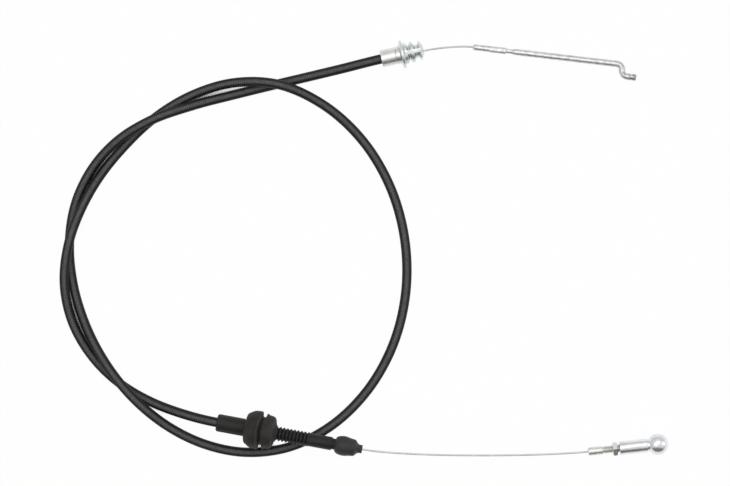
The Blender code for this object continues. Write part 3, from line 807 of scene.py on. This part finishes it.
@dataclass
class Conduit:
    """Black jacket over a spiral that shows through it, in its two loops, and what it holds inside.

    A painted highlight lies along its top, strongest where it faces straight up; a set share of it is left on its
    sides and another between its ridges.
    """

    radius: float = 0.0030
    sides: int = 20
    ring_step: float = 0.000275
    ridges: Ridges = Ridges(spacing=0.00115, depth=0.00012, starts=1, roundness=2.0)
    upper_held: float = 0.0085
    lower_held: float = 0.0146
    # painted highlight along the jacket's top: where it starts, the share left on its sides and in its valleys, and
    # its level below
    highlight_from: float = 0.72
    side_highlight: float = 0.12
    valley_highlight: float = 0.52
    unhighlighted: float = -0.1

    def path(self) -> list[Vector]:
        """Lay out the conduit, none of it lower than the floor lets it lie.

        Returns:
            Centre points from inside the ferrule to inside the sleeve.
        """
        upper, lower = LAYOUT.upper, LAYOUT.lower
        points = [upper.point(0.0), *[Vector(p) for p in LAYOUT.route], lower.point(0.0)]
        curve = smooth_curve(points, -upper.heading, lower.heading)
        for point in curve:
            point.z = max(point.z, self.radius)
        return [upper.point(self.upper_held), *curve, lower.point(self.lower_held)]

    def rub_and_highlight(self, mesh: bpy.types.Mesh) -> None:
        """Paint a highlight along the jacket's top into its wear attribute, strongest where it faces up and on the
        ridges' crests.

        Args:
            mesh: The swept jacket.
        """
        count = len(mesh.vertices)
        ridge, facing = np.empty(count, np.float32), np.empty(3 * count, np.float32)
        mesh.attributes[WEAR_AND_HIGHLIGHT].data.foreach_get("value", ridge)
        mesh.vertex_normals.foreach_get("vector", facing)
        # painted highlight: full where the jacket faces straight up, falling to the side share on its flanks
        share = np.clip((facing[2::3] - self.highlight_from) / (1.0 - self.highlight_from), 0.0, 1.0)
        top = self.side_highlight + (1.0 - self.side_highlight) * share
        crest = 1.0 - 0.5 * (1.0 - self.valley_highlight) * (1.0 - ridge)
        mesh.attributes[WEAR_AND_HIGHLIGHT].data.foreach_set("value", top * crest + self.unhighlighted)

    def build(self, sweeper: RidgedSweep, frame: dict) -> None:
        """Sweep the jacket and dress the tubes inside it.

        Args:
            sweeper: The tree that sweeps it.
            frame: The loaded CAD frame.
        """
        path = self.path()
        jacket = sweeper.sweep("conduit_cover", path, self.radius, self.sides, self.ring_step,
                               self.ridges, JACKET.dress())
        # paint the highlight along the jacket's top into its wear attribute
        self.rub_and_highlight(jacket.data)
        settle(jacket, "cable", "conduit_jacket")
        tuple(LAYOUT.upper.point(0.0))
        middle = Place(0.0, 0.0, 0.0, 0.0)
        for node, finish in (("conduit_winding", WINDING), ("conduit_liner", LINER)):
            inside = frame["nodes"][node]
            inside.data.materials.clear()
            inside.data.materials.append(finish.dress(middle))


@dataclass
class InnerWire:
    """Stranded wire: bare at both ends, where it bends from the conduit to its fittings, and inside the conduit."""

    radius: float = 0.0006
    sides: int = 24
    ring_step: float = 0.0004
    bare_steps: int = 40
    inside_sides: int = 12
    inside_step: float = 0.0040
    strands: Ridges = Ridges(spacing=0.0015, depth=0.00004, starts=6, roundness=2.2)
    upper_exit: float = 0.0265
    upper_aside: float = -0.0008
    upper_spring: float = 0.75
    lower_exit: float = 0.0899
    lower_spring: float = 0.60
    rod_socket: float = 0.0117
    stud_socket: float = 0.0092
    cover: float = 0.0060

    def bare(self, start: Vector, leaving: Vector, end: Vector, arriving: Vector, spring: float,
             held: float) -> list[Vector]:
        """Centre points of one bare length, with what its two ends hold.

        Args:
            start: Where it leaves the cable.
            leaving: The way it leaves.
            end: The mouth of its far fitting.
            arriving: The way it arrives.
            spring: How far it springs out, 1 for a free curve.
            held: Length inside the far fitting.

        Returns:
            The points.
        """
        curve = smooth_curve([start, end], spring * leaving, spring * arriving, self.bare_steps)
        return [start - leaving * self.cover, *curve, end + arriving * held]

    def build(self, sweeper: RidgedSweep) -> None:
        """Sweep the three lengths.

        Args:
            sweeper: The tree that sweeps them.
        """
        upper, lower, rod, stud = LAYOUT.upper, LAYOUT.lower, LAYOUT.rod, LAYOUT.stud
        finish = STRAND.dress()
        runs = (
            ("bare_wire_upper", "rod", upper.point(self.upper_exit, self.upper_aside), upper.heading,
             rod.point(0.0), rod.heading, self.upper_spring, self.rod_socket),
            ("bare_wire_lower", "stud", lower.point(self.lower_exit), lower.heading,
             stud.point(0.0), stud.heading, self.lower_spring, self.stud_socket),
        )
        for name, body, start, leaving, end, arriving, spring, held in runs:
            path = self.bare(start, leaving, end, arriving, spring, held)
            wire = sweeper.sweep(name, path, self.radius, self.sides, self.ring_step, self.strands, finish)
            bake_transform(wire)
            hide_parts("inner_wire")
        inside = [upper.point(self.upper_exit - self.cover), *Conduit().path()[1:-1],
                  lower.point(self.lower_exit - self.cover)]
        core = sweeper.sweep("wire_inside_conduit", inside, self.radius, self.inside_sides,
                             self.inside_step, Ridges(self.strands.spacing, depth=0.0), finish)
        settle(core, "cable", "inner_wire")


@dataclass
class UpperEnd:
    """Ferrule on the conduit, and the die-cast fitting that a slotted bracket holds by its groove."""

    ferrule_length: float = 0.0091
    ferrule_radius: float = 0.00525
    bore: float = 0.00318
    socket_end: float = 0.0088
    wire_hole: float = 0.0013
    shank_radius: float = 0.0040
    shank_length: float = 0.0059
    shank_gap: float = 0.0002
    face_gap: float = 0.0003
    edge: float = 0.0003
    spine_half_width: float = 0.0013
    spine_radius: float = 0.0063
    spine_from: float = 0.0053
    spine_to: float = 0.0154
    spine_foot: float = 0.0039
    slit_half_width: float = 0.00022
    slit_depth: float = 0.0003
    slit_wear: float = -0.4
    casting_sides: int = 180

    def ferrule(self) -> None:
        """Turn the ferrule."""
        end = self.ferrule_length + self.shank_length
        corners = [
            (0.0, self.bore, 0.0002), (0.0, self.ferrule_radius, self.edge),
            (0.0006, self.ferrule_radius + 0.00003, 0.0004),
            (self.ferrule_length, self.ferrule_radius, self.edge),
            (self.ferrule_length, self.shank_radius), (end, self.shank_radius, self.edge),
            (end, self.wire_hole), (self.socket_end, self.wire_hole), (self.socket_end, self.bore),
        ]
        piece = turned("ferrule", LAYOUT.upper, corners, FERRULE.dress(LAYOUT.upper))
        settle(piece, "cable", "conduit_ferrule")

    def fitting(self) -> None:
        """Cast the hub, flange and three discs, joined on top by a spine with a slit along it."""
        hole, hole_radius = self.shank_length + self.face_gap, self.shank_radius + self.shank_gap
        edge = self.edge
        outline = eased([
            (0.0, hole_radius), (0.0, 0.0054, edge), (0.0026, 0.0054, 0.0005),
            (0.0027, 0.0066, 0.0004), (0.0033, 0.00855, edge), (0.0046, 0.00855, edge),
            (0.0052, 0.0066, 0.0004), (0.0054, 0.0063, 0.0002), (0.0070, 0.0063, edge),
            (0.0075, 0.0048, 0.0004), (0.0077, 0.0046, 0.0002), (0.0088, 0.0046, 0.0004),
            (0.0092, 0.0063, edge), (0.0110, 0.0063, edge), (0.0115, 0.0042, 0.0005),
            (0.0142, 0.0040, 0.0005), (0.0145, 0.0062, edge), (0.0153, 0.0062, 0.0004),
            (0.0171, 0.0028, 0.0004), (0.0171, self.wire_hole), (hole, self.wire_hole),
            (hole, hole_radius),
        ])

        def at(angle: float) -> Profile:
            """Raise the outline to the spine's top near the top of the casting.

            Args:
                angle: Angle round the axis.

            Returns:
                The outline there.
            """
            if math.sin(angle) <= 0.0:
                return outline
            aside = max(abs(math.cos(angle)), 1e-6)
            spine = min(self.spine_radius, self.spine_half_width / aside)
            slit = self.spine_radius * aside < self.slit_half_width
            made = []
            for x, r, w in outline:
                if self.spine_from < x < self.spine_to and self.spine_foot < r and (slit or r < spine):
                    made.append((x, spine - self.slit_depth, self.slit_wear) if slit else (x, spine, 0.0))
                else:
                    made.append((x, r, w))
            return made

        piece = revolved("cast_fitting", LAYOUT.upper, at, ZINC.dress(LAYOUT.upper),
                         self.casting_sides, self.ferrule_length + self.face_gap)
        settle(piece, "cable", "bracket_fitting")

    def build(self) -> None:
        """Build both pieces."""
        self.ferrule()
        self.fitting()


@dataclass
class PullRod:
    """Round rod crimped on the wire, with a Z bend at its far end."""

    radius: float = 0.0020
    head_radius: float = 0.00188
    neck_radius: float = 0.00145
    wire_bore: float = 0.00068
    straight: float = 0.0893
    bend_radius: float = 0.0035
    tail: float = 0.0056
    sides: int = 40
    bend_steps: int = 14
    bend_squeeze: float = 0.05
    crimps: tuple[float, ...] = (0.0125, 0.0153, 0.0181)
    crimp_half_width: float = 0.00198
    crimp_half_height: float = 0.00188
    crimp_aside: float = -0.00008
    dent_depth: float = 0.00005
    dent_reach: float = 0.00055
    mouth_loops: tuple[int, int] = (3, 6)
    mouth_wear: float = 0.8

    def section(self, x: float, y: float, turn: float, wide: float, high: float,
                squareness: float = 2.0) -> list[Vector]:
        """Cross-section of the rod, from round towards square.

        Args:
            x: Place of its centre along the rod.
            y: Place to its left.
            turn: Its heading.
            wide: Half its width.
            high: Half its height.
            squareness: 2 for an ellipse, and more for flatter sides.

        Returns:
            Its corners.
        """
        corners = []
        for k in range(self.sides):
            angle = math.tau * k / self.sides
            c, s = math.cos(angle), math.sin(angle)
            across = wide * math.copysign(abs(c) ** (2.0 / squareness), c)
            up = high * math.copysign(abs(s) ** (2.0 / squareness), s)
            corners.append(Vector((x - across * math.sin(turn), y + across * math.cos(turn), up)))
        return corners

    def sections(self) -> list[list[Vector]]:
        """Cut the rod into cross-sections.

        Returns:
            The corners of each, from the socket's bottom to the tail.
        """
        bore, head, rod = self.wire_bore, self.head_radius, self.radius
        made = [
            self.section(x, 0.0, 0.0, wide, high, square) for x, wide, high, square in (
                (0.0117, bore, bore, 2.0), (0.0001, bore, bore, 2.0), (0.0, bore * 1.15, bore * 1.15, 2.0),
                (0.0, 0.00125, 0.00125, 2.0), (0.00015, 0.00140, 0.00140, 2.0),
                (0.0009, head * 0.97, head * 0.97, 2.0), (0.0012, head, head, 2.0),
                (0.0088, head, head, 2.0), (0.0094, head * 1.01, head, 2.2),
            )
        ]
        for x in np.linspace(0.0102, 0.0202, 41):
            dent = sum(math.exp(-(((x - at) / self.dent_reach) ** 2)) for at in self.crimps)
            ease = min(1.0, (x - 0.0094) / 0.0012, (0.0208 - x) / 0.0006)
            made.append(self.section(
                x, self.crimp_aside * ease, 0.0, self.crimp_half_width * (0.95 + 0.05 * ease),
                self.crimp_half_height - self.dent_depth * dent, 2.0 + 0.5 * ease))
        made += [
            self.section(x, 0.0, 0.0, wide, high, 2.0) for x, wide, high in (
                (0.0206, 0.0017, 0.0016), (0.0211, 0.00150, 0.00150), (0.0218, self.neck_radius, self.neck_radius),
                (0.0240, self.neck_radius, self.neck_radius), (0.0248, 0.00163, 0.00163),
                (0.0262, 0.00193, 0.00193), (0.0272, rod, rod), (self.straight, rod, rod),
            )
        ]
        r = self.bend_radius
        second = self.straight + 2.0 * r
        for bend, way in ((self.straight, 1.0), (second, -1.0)):
            for step in range(1, self.bend_steps + 1):
                share = step / self.bend_steps
                turn = math.pi / 2.0 * (share if way > 0.0 else 1.0 - share)
                squeeze = 1.0 - self.bend_squeeze * math.sin(2.0 * turn)
                made.append(self.section(bend + way * r * math.sin(turn), -r * (1.0 - way * math.cos(turn)),
                                         -turn, rod * squeeze, rod))
        end = second + self.tail
        for back, share in ((0.0008, 1.0), (0.0004, 0.98), (0.00015, 0.93), (0.0, 0.85)):
            made.append(self.section(end - back, -2.0 * r, 0.0, rod * share, rod * share))
        return made

    def build(self) -> None:
        """Loft the rod."""
        loops = self.sections()
        points = [tuple(LAYOUT.rod.matrix() @ corner) for loop in loops for corner in loop]
        n = self.sides
        faces = [
            (i * n + k, i * n + (k + 1) % n, (i + 1) * n + (k + 1) % n, (i + 1) * n + k)
            for i in range(len(loops) - 1) for k in range(n)
        ]
        last = (len(loops) - 1) * n
        faces += [tuple(range(n)), tuple(range(last, last + n))]
        mesh = bpy.data.meshes.new("z_rod")
        mesh.from_pydata(points, [], faces)
        wear = np.zeros(len(points), np.float32)
        first, past = self.mouth_loops
        wear[first * n:past * n] = self.mouth_wear
        mesh.attributes.new(WEAR_AND_HIGHLIGHT, "FLOAT", "POINT").data.foreach_set("value", wear)
        piece = piece_from("z_rod", mesh, ROD.dress(LAYOUT.rod))
        settle(piece, "rod", "pull_rod")


@dataclass
class LowerEnd:
    """Adjuster sleeve with its ribs, the grommet on them, and the dust cap on its nose."""

    barrel_radius: float = 0.0054
    barrel_length: float = 0.0166
    face_gap: float = 0.0003
    mouth: float = -0.0005
    chamfer: float = 0.0009
    rib_radius: float = 0.0044
    rib_root: float = 0.0036
    rib_pitch: float = 0.00219
    rib_lead: float = 0.0019
    smooth_radius: float = 0.0041
    smooth_start: float = 0.0565
    smooth_end: float = 0.0711
    neck_radius: float = 0.0034
    cap_start: float = 0.0733
    lean: float = 0.0022
    conduit_bore: float = 0.00318
    socket_end: float = 0.0149
    wire_hole: float = 0.0013
    nose_length: float = 0.0097
    grommet_radius: float = 0.0118
    wire_bore: float = 0.0007
    grommet_gap: float = 0.00015
    cap_gap: float = 0.0001
    overlap: float = 0.0004
    rib_sides: int = 56
    rings_per_rib: int = 10
    grommet_sides: int = 128

    def sleeve(self, sweeper: RidgedSweep) -> None:
        """Turn the sleeve's plain lengths and sweep its ribs.

        Args:
            sweeper: The tree that sweeps the ribs.
        """
        place = LAYOUT.lower
        nose = self.cap_start + self.nose_length
        core = self.rib_root - self.overlap
        corners = [
            (self.mouth, self.conduit_bore, 0.0002), (self.mouth, self.barrel_radius - self.chamfer, 0.0002),
            (self.mouth + self.chamfer, self.barrel_radius, 0.0002),
            (self.barrel_length, self.barrel_radius, 0.0004),
            (self.barrel_length, core), (self.smooth_start, core),
            (self.smooth_start, self.smooth_radius, 0.0004),
            (self.smooth_end, self.smooth_radius, 0.0004), (self.smooth_end + 0.0002, self.neck_radius, 0.0002),
            (self.cap_start + 0.0026, self.neck_radius), (nose, self.neck_radius - 0.0003),
            (nose, self.wire_hole), (self.socket_end, self.wire_hole), (self.socket_end, self.conduit_bore),
        ]
        settle(turned("sleeve_moulding", place, corners, NYLON.dress(place)), "cable",
               "adjuster_sleeve")
        first = self.barrel_length - self.rib_lead
        last = self.smooth_start + self.overlap
        path = [place.point(first), place.point(last)]
        ridges = Ridges(spacing=self.rib_pitch, depth=self.rib_radius - self.rib_root, sharpness=1.5,
                        roundness=1.7)
        ribs = sweeper.sweep("sleeve_ribs", path, self.rib_radius, self.rib_sides,
                             self.rib_pitch / self.rings_per_rib, ridges, RIBS.dress())
        settle(ribs, "cable", "adjuster_sleeve")

    def grommet(self) -> None:
        """Turn the grommet, with its groove for the bulkhead; its lips lean back a little at the top."""
        bore = self.rib_radius + self.grommet_gap
        outline = eased([
            (0.0, bore), (0.0, 0.0060, 0.0004), (0.0006, 0.0085, 0.0006), (0.00125, 0.0093, 0.0008),
            (0.0025, 0.0101, 0.0012), (0.0038, 0.0109, 0.0012), (0.0050, 0.0115, 0.0010),
            (0.0062, 0.01165, 0.0008), (0.0080, self.grommet_radius, 0.0006),
            (0.0094, self.grommet_radius, 0.0003), (0.0100, 0.01110, 0.0003),
            (0.0103, 0.00870, 0.0003), (0.0121, 0.00860, 0.0003),
            (0.0124, 0.01080, 0.0002), (0.0128, 0.01115, 0.0002), (0.0135, 0.01065, 0.0004),
            (0.0142, 0.01035, 0.0006), (0.0160, 0.01015, 0.0010), (0.0172, 0.00975, 0.0008),
            (0.0180, 0.00912, 0.0006), (0.0186, 0.00780, 0.0006), (0.0191, 0.00545, 0.0004),
            (0.0197, 0.00500, 0.0002), (0.0197, bore),
        ])
        reach = self.grommet_radius - self.barrel_radius

        def at(angle: float) -> Profile:
            """Outline at an angle, leaning more towards the top and the farther it is from the sleeve."""
            lean = self.lean * max(0.0, math.sin(angle)) ** 2
            return [(x - lean * max(0.0, r - self.barrel_radius) / reach, r, w) for x, r, w in outline]

        piece = revolved("rubber_grommet", LAYOUT.lower, at, RUBBER.dress(LAYOUT.lower),
                         self.grommet_sides, self.barrel_length + self.face_gap)
        settle(piece, "grommet", "bulkhead_grommet")

    def cap(self) -> None:
        """Turn the dust cap."""
        inside = self.neck_radius + self.cap_gap
        corners = [
            (0.0, inside), (0.0, 0.0043, 0.0004), (0.0008, 0.0049, 0.0004), (0.0014, 0.00535, 0.0005),
            (0.0026, 0.00572, 0.0008), (0.0039, 0.00597, 0.0008), (0.0051, 0.00611, 0.0008),
            (0.0064, 0.00602, 0.0008), (0.0076, 0.00581, 0.0008), (0.0088, 0.00551, 0.0006),
            (0.0100, 0.00532, 0.0006), (0.0113, 0.00522, 0.0006), (0.0119, 0.00505, 0.0004),
            (0.0125, 0.00470, 0.0004), (0.0131, 0.00395, 0.0004), (0.0137, 0.00328, 0.0004),
            (0.0143, 0.00282, 0.0003), (0.0150, 0.00258, 0.0003), (0.0160, 0.00252, 0.0003),
            (0.0168, 0.00256, 0.0002), (0.0168, self.wire_bore, 0.0001), (0.0101, self.wire_bore),
            (0.0101, inside),
        ]
        piece = turned("rubber_cap", LAYOUT.lower, corners, CAP_RUBBER.dress(LAYOUT.lower),
                       start=self.cap_start)
        settle(piece, "cable", "dust_cap")

    def build(self, sweeper: RidgedSweep) -> None:
        """Build the three pieces.

        Args:
            sweeper: The tree that sweeps the ribs.
        """
        self.sleeve(sweeper)
        self.grommet()
        self.cap()


@dataclass
class BallSide:
    """Threaded stud crimped on the wire, its lock nut, and the ball end screwed on it."""

    crimp_radius: float = 0.0025
    crimp_length: float = 0.0093
    crimp_sides: int = 64
    socket_depth: float = 0.0095
    wire_bore: float = 0.0007
    thread: Ridges = Ridges(spacing=0.0008, depth=0.00046, starts=1, sharpness=1.15)
    thread_radius: float = 0.00248
    thread_end: float = 0.0304
    thread_sides: int = 36
    rings_per_turn: int = 8
    nut_flats: float = 0.0080
    nut_thickness: float = 0.0030
    nut_start: float = 0.0152
    nut_sides: int = 72
    nut_bore: float = 0.00252
    chamfer_from: float = 0.95
    chamfer_degrees: float = 30.0
    corner_from: float = 27.0
    barrel_start: float = 0.0194
    barrel_radius: float = 0.0042
    barrel_length: float = 0.0172
    ball_radius: float = 0.0065
    ball_centre: float = 0.0237
    ball_steps: int = 28
    neck_radius: float = 0.0037
    ball_bore: float = 0.00255
    ball_bore_depth: float = 0.0130

    def stud(self, sweeper: RidgedSweep) -> None:
        """Turn the crimped end and sweep the thread.

        Args:
            sweeper: The tree that sweeps the thread.
        """
        place = LAYOUT.stud
        core = self.thread_radius - self.thread.depth - 0.0001
        corners = [(self.socket_depth, 0.0), (self.socket_depth, self.wire_bore),
                   (0.0, self.wire_bore, 0.0001), (0.0, self.crimp_radius - 0.0006, 0.0002),
                   (0.0006, self.crimp_radius, 0.0003), (self.crimp_length, self.crimp_radius, 0.0003),
                   (self.crimp_length, core), (self.crimp_length + 0.0010, core),
                   (self.crimp_length + 0.0010, 0.0)]
        crimp = turned("stud_crimp", place, corners, CRIMP.dress(place), self.crimp_sides)
        settle(crimp, "stud", "threaded_stud")
        path = [place.point(self.crimp_length + 0.0006), place.point(self.thread_end)]
        thread = sweeper.sweep("stud_thread", path, self.thread_radius, self.thread_sides,
                               self.thread.spacing / self.rings_per_turn, self.thread, THREAD.dress())
        settle(thread, "stud", "threaded_stud")

    def nut(self) -> None:
        """Cut the hexagon nut, with its corners chamfered on both faces."""
        half, thick = self.nut_flats / 2.0, self.nut_thickness
        face = half * self.chamfer_from
        bore = self.nut_bore
        slope = math.tan(math.radians(self.chamfer_degrees))

        def at(angle: float) -> Profile:
            """Follow the flats, and the line where each chamfer meets them.

            Args:
                angle: Angle round the axis.

            Returns:
                The outline there.
            """
            off = (angle - math.pi / 2.0) % (math.pi / 3.0) - math.pi / 6.0
            out = half / math.cos(off)
            rise = (out - face) * slope
            corner = 1.0 if abs(off) > math.radians(self.corner_from) else 0.0
            return [
                (0.0004, bore, 0.0), (0.0, bore + 0.0004, 0.0), (0.0, face - 0.0001, 0.4),
                (rise * 0.25, face + (out - face) * 0.25, 0.3),
                (rise, out - 0.00003, 1.0), (rise + 0.0001, out, corner),
                (thick - rise - 0.0001, out, corner), (thick - rise, out - 0.00003, 1.0),
                (thick - rise * 0.25, face + (out - face) * 0.25, 0.3),
                (thick, face - 0.0001, 0.4), (thick, bore + 0.0004, 0.0), (thick - 0.0004, bore, 0.0),
            ]

        piece = revolved("hex_nut", LAYOUT.stud, at, NUT.dress(LAYOUT.stud), self.nut_sides, self.nut_start)
        settle(piece, "nut", "lock_nut")

    def ball(self) -> None:
        """Turn the barrel and the ball in one."""
        bore, depth = self.ball_bore, self.ball_bore_depth
        meet = math.asin(self.neck_radius / self.ball_radius)
        outline = eased([
            (depth, 0.0), (depth, bore), (0.0004, bore), (0.0, bore + 0.0004),
            (0.0, self.barrel_radius, 0.0006), (self.barrel_length, self.barrel_radius, 0.0006),
            (self.barrel_length + 0.0003, self.neck_radius, 0.0003),
        ])
        for step in range(self.ball_steps + 1):
            angle = (math.pi - meet) * (1.0 - step / self.ball_steps)
            radius = 0.0 if step == self.ball_steps else self.ball_radius * math.sin(angle)
            outline.append((self.ball_centre + self.ball_radius * math.cos(angle), radius, 0.0))
        piece = revolved("ball_and_barrel", LAYOUT.stud, lambda angle: outline, BALL.dress(LAYOUT.stud),
                         start=self.barrel_start)
        settle(piece, "ball", "ball_end")

    def build(self, sweeper: RidgedSweep) -> None:
        """Build the three pieces.

        Args:
            sweeper: The tree that sweeps the thread.
        """
        self.stud(sweeper)
        self.nut()
        self.ball()


@dataclass(frozen=True)
class Lamp:
    """Soft rectangular lamp that points at the origin."""

    name: str
    place: Point
    wide: float
    deep: float
    power: float


@dataclass
class Studio:
    """Camera straight above, a white floor that keeps a soft shadow, and soft light from above.

    The picture is view_width wide at the height measured_at. The floor gives its own light where it lies
    open, and in gaps narrower than the conduit its colour is painted dark as shade.
    """

    view_width: float = 0.44895
    centre: tuple[float, float] = (0.00064, 0.00369)
    height: float = 2.0
    measured_at: float = 0.004
    sensor_width: float = 36.0
    floor_half: float = 3.0
    floor_own_light: float = 0.97
    floor_tone: Colour = (0.90, 0.90, 0.90)
    # painted shade: dark floor colour laid into tight gaps, and the occlusion range over which it fades in
    gap_painted_shade: Colour = (0.04, 0.04, 0.04)
    gap_reach: float = 0.0070
    gap_samples: int = 16
    painted_shade_range: tuple[float, float] = (0.16, 0.40)
    gap_lights: tuple[float, float] = (0.22, 0.36)
    zenith: float = 0.82
    horizon: float = 0.62
    near_side: float = 0.18
    high_band: tuple[float, float] = (0.10, 0.70)
    near_band: tuple[float, float] = (-0.68, -0.44)
    lamps: tuple[Lamp, ...] = (
        Lamp("overhead", (-0.15, 0.20, 1.40), 1.8, 0.8, 4.6),
        Lamp("end", (1.6, 0.1, 0.75), 0.8, 0.8, 2.2),
    )

    def camera(self) -> None:
        """Put the camera straight above the middle of the picture."""
        data = bpy.data.cameras.new("camera")
        data.sensor_width = self.sensor_width
        data.lens = self.sensor_width * (self.height - self.measured_at) / self.view_width
        data.clip_end = 10.0 * self.height
        eye = put_in_scene("camera", data)
        eye.location = (*self.centre, self.height)
        bpy.context.scene.camera = eye

    def background(self, wiring: Wiring) -> bpy.types.NodeSocket:
        """Tell rays that see the floor as a background from those that light the scene.

        Args:
            wiring: The floor's nodes.

        Returns:
            1 for rays from the camera, in mirrors and through glass, and 0 for the rest.
        """
        rays = wiring.add("ShaderNodeLightPath").outputs
        seen = wiring.math("MAXIMUM", rays["Is Camera Ray"], rays["Is Glossy Ray"])
        return wiring.math("MAXIMUM", seen, rays["Is Transmission Ray"])

    def floor(self) -> None:
        """Lay the floor."""
        half = self.floor_half
        mesh = bpy.data.meshes.new("floor")
        mesh.from_pydata([(-half, -half, 0.0), (half, -half, 0.0), (half, half, 0.0), (-half, half, 0.0)], [],
                         [(0, 1, 2, 3)])
        material = bpy.data.materials.new("white floor")
        wiring = blank(material)
        white = wiring.add("ShaderNodeEmission", {"Color": (1.0, 1.0, 1.0, 1.0), "Strength": 1.0}).outputs[0]
        open_to_sky = wiring.add("ShaderNodeAmbientOcclusion", {"Distance": self.gap_reach},
                                 samples=self.gap_samples).outputs["AO"]
        # painted shade: the floor's colour turns dark where its ambient occlusion finds a tight gap
        floor_and_painted_shade = wiring.mix(wiring.spread(open_to_sky, *self.painted_shade_range, 0.0, 1.0), self.gap_painted_shade, self.floor_tone)
        plain = wiring.add("ShaderNodeBsdfDiffuse", {"Color": floor_and_painted_shade}).outputs[0]
        unshadowed = wiring.spread(open_to_sky, *self.gap_lights, 0.0, self.floor_own_light)
        share = wiring.math("MULTIPLY", self.background(wiring), unshadowed)
        mixed = wiring.add("ShaderNodeMixShader", {"Fac": share})
        wiring.feed(mixed.inputs[1], plain)
        wiring.feed(mixed.inputs[2], white)
        wiring.add("ShaderNodeOutputMaterial", {"Surface": mixed.outputs[0]})
        mesh.materials.append(material)
        put_in_scene("floor", mesh)

    def light(self) -> None:
        """Set the world and the lamps."""
        scene = bpy.context.scene
        world = bpy.data.worlds.new("studio")
        scene.world = world
        wiring = blank(world)
        seen = wiring.add("ShaderNodeLightPath").outputs["Is Camera Ray"]
        towards = wiring.add("ShaderNodeTexCoord").outputs["Generated"]
        axes = wiring.add("ShaderNodeSeparateXYZ", {"Vector": towards}).outputs
        above = wiring.spread(axes[2], *self.high_band, self.horizon, self.zenith)
        around = wiring.spread(axes[1], *self.near_band, self.near_side, above)
        strength = wiring.spread(seen, 0.0, 1.0, around, 1.0)
        sky = wiring.add("ShaderNodeBackground", {"Color": (1.0, 1.0, 1.0, 1.0), "Strength": strength})
        wiring.add("ShaderNodeOutputWorld", {"Surface": sky.outputs[0]})
        for lamp in self.lamps:
            data = bpy.data.lights.new(lamp.name, "AREA")
            data.shape = "RECTANGLE"
            data.size, data.size_y, data.energy = lamp.wide, lamp.deep, lamp.power
            made = put_in_scene(lamp.name, data)
            made.location = lamp.place
            made.rotation_euler = (-Vector(lamp.place)).to_track_quat("-Z", "Y").to_euler()
            made.visible_camera = False
        scene.view_settings.view_transform = "Standard"

    def build(self) -> None:
        """Lay the floor and set the light; main sets the camera on its own, before the pieces."""
        self.floor()
        self.light()


def main() -> None:
    """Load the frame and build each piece."""
    logging.basicConfig(level=logging.INFO, format="%(message)s")
    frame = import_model()
    studio = Studio()
    studio.camera()
    sweeper = RidgedSweep()
    Conduit().build(sweeper, frame)
    InnerWire().build(sweeper)
    UpperEnd().build()
    PullRod().build()
    LowerEnd().build(sweeper)
    BallSide().build(sweeper)
    studio.build()


if __name__ == "__main__":
    main()
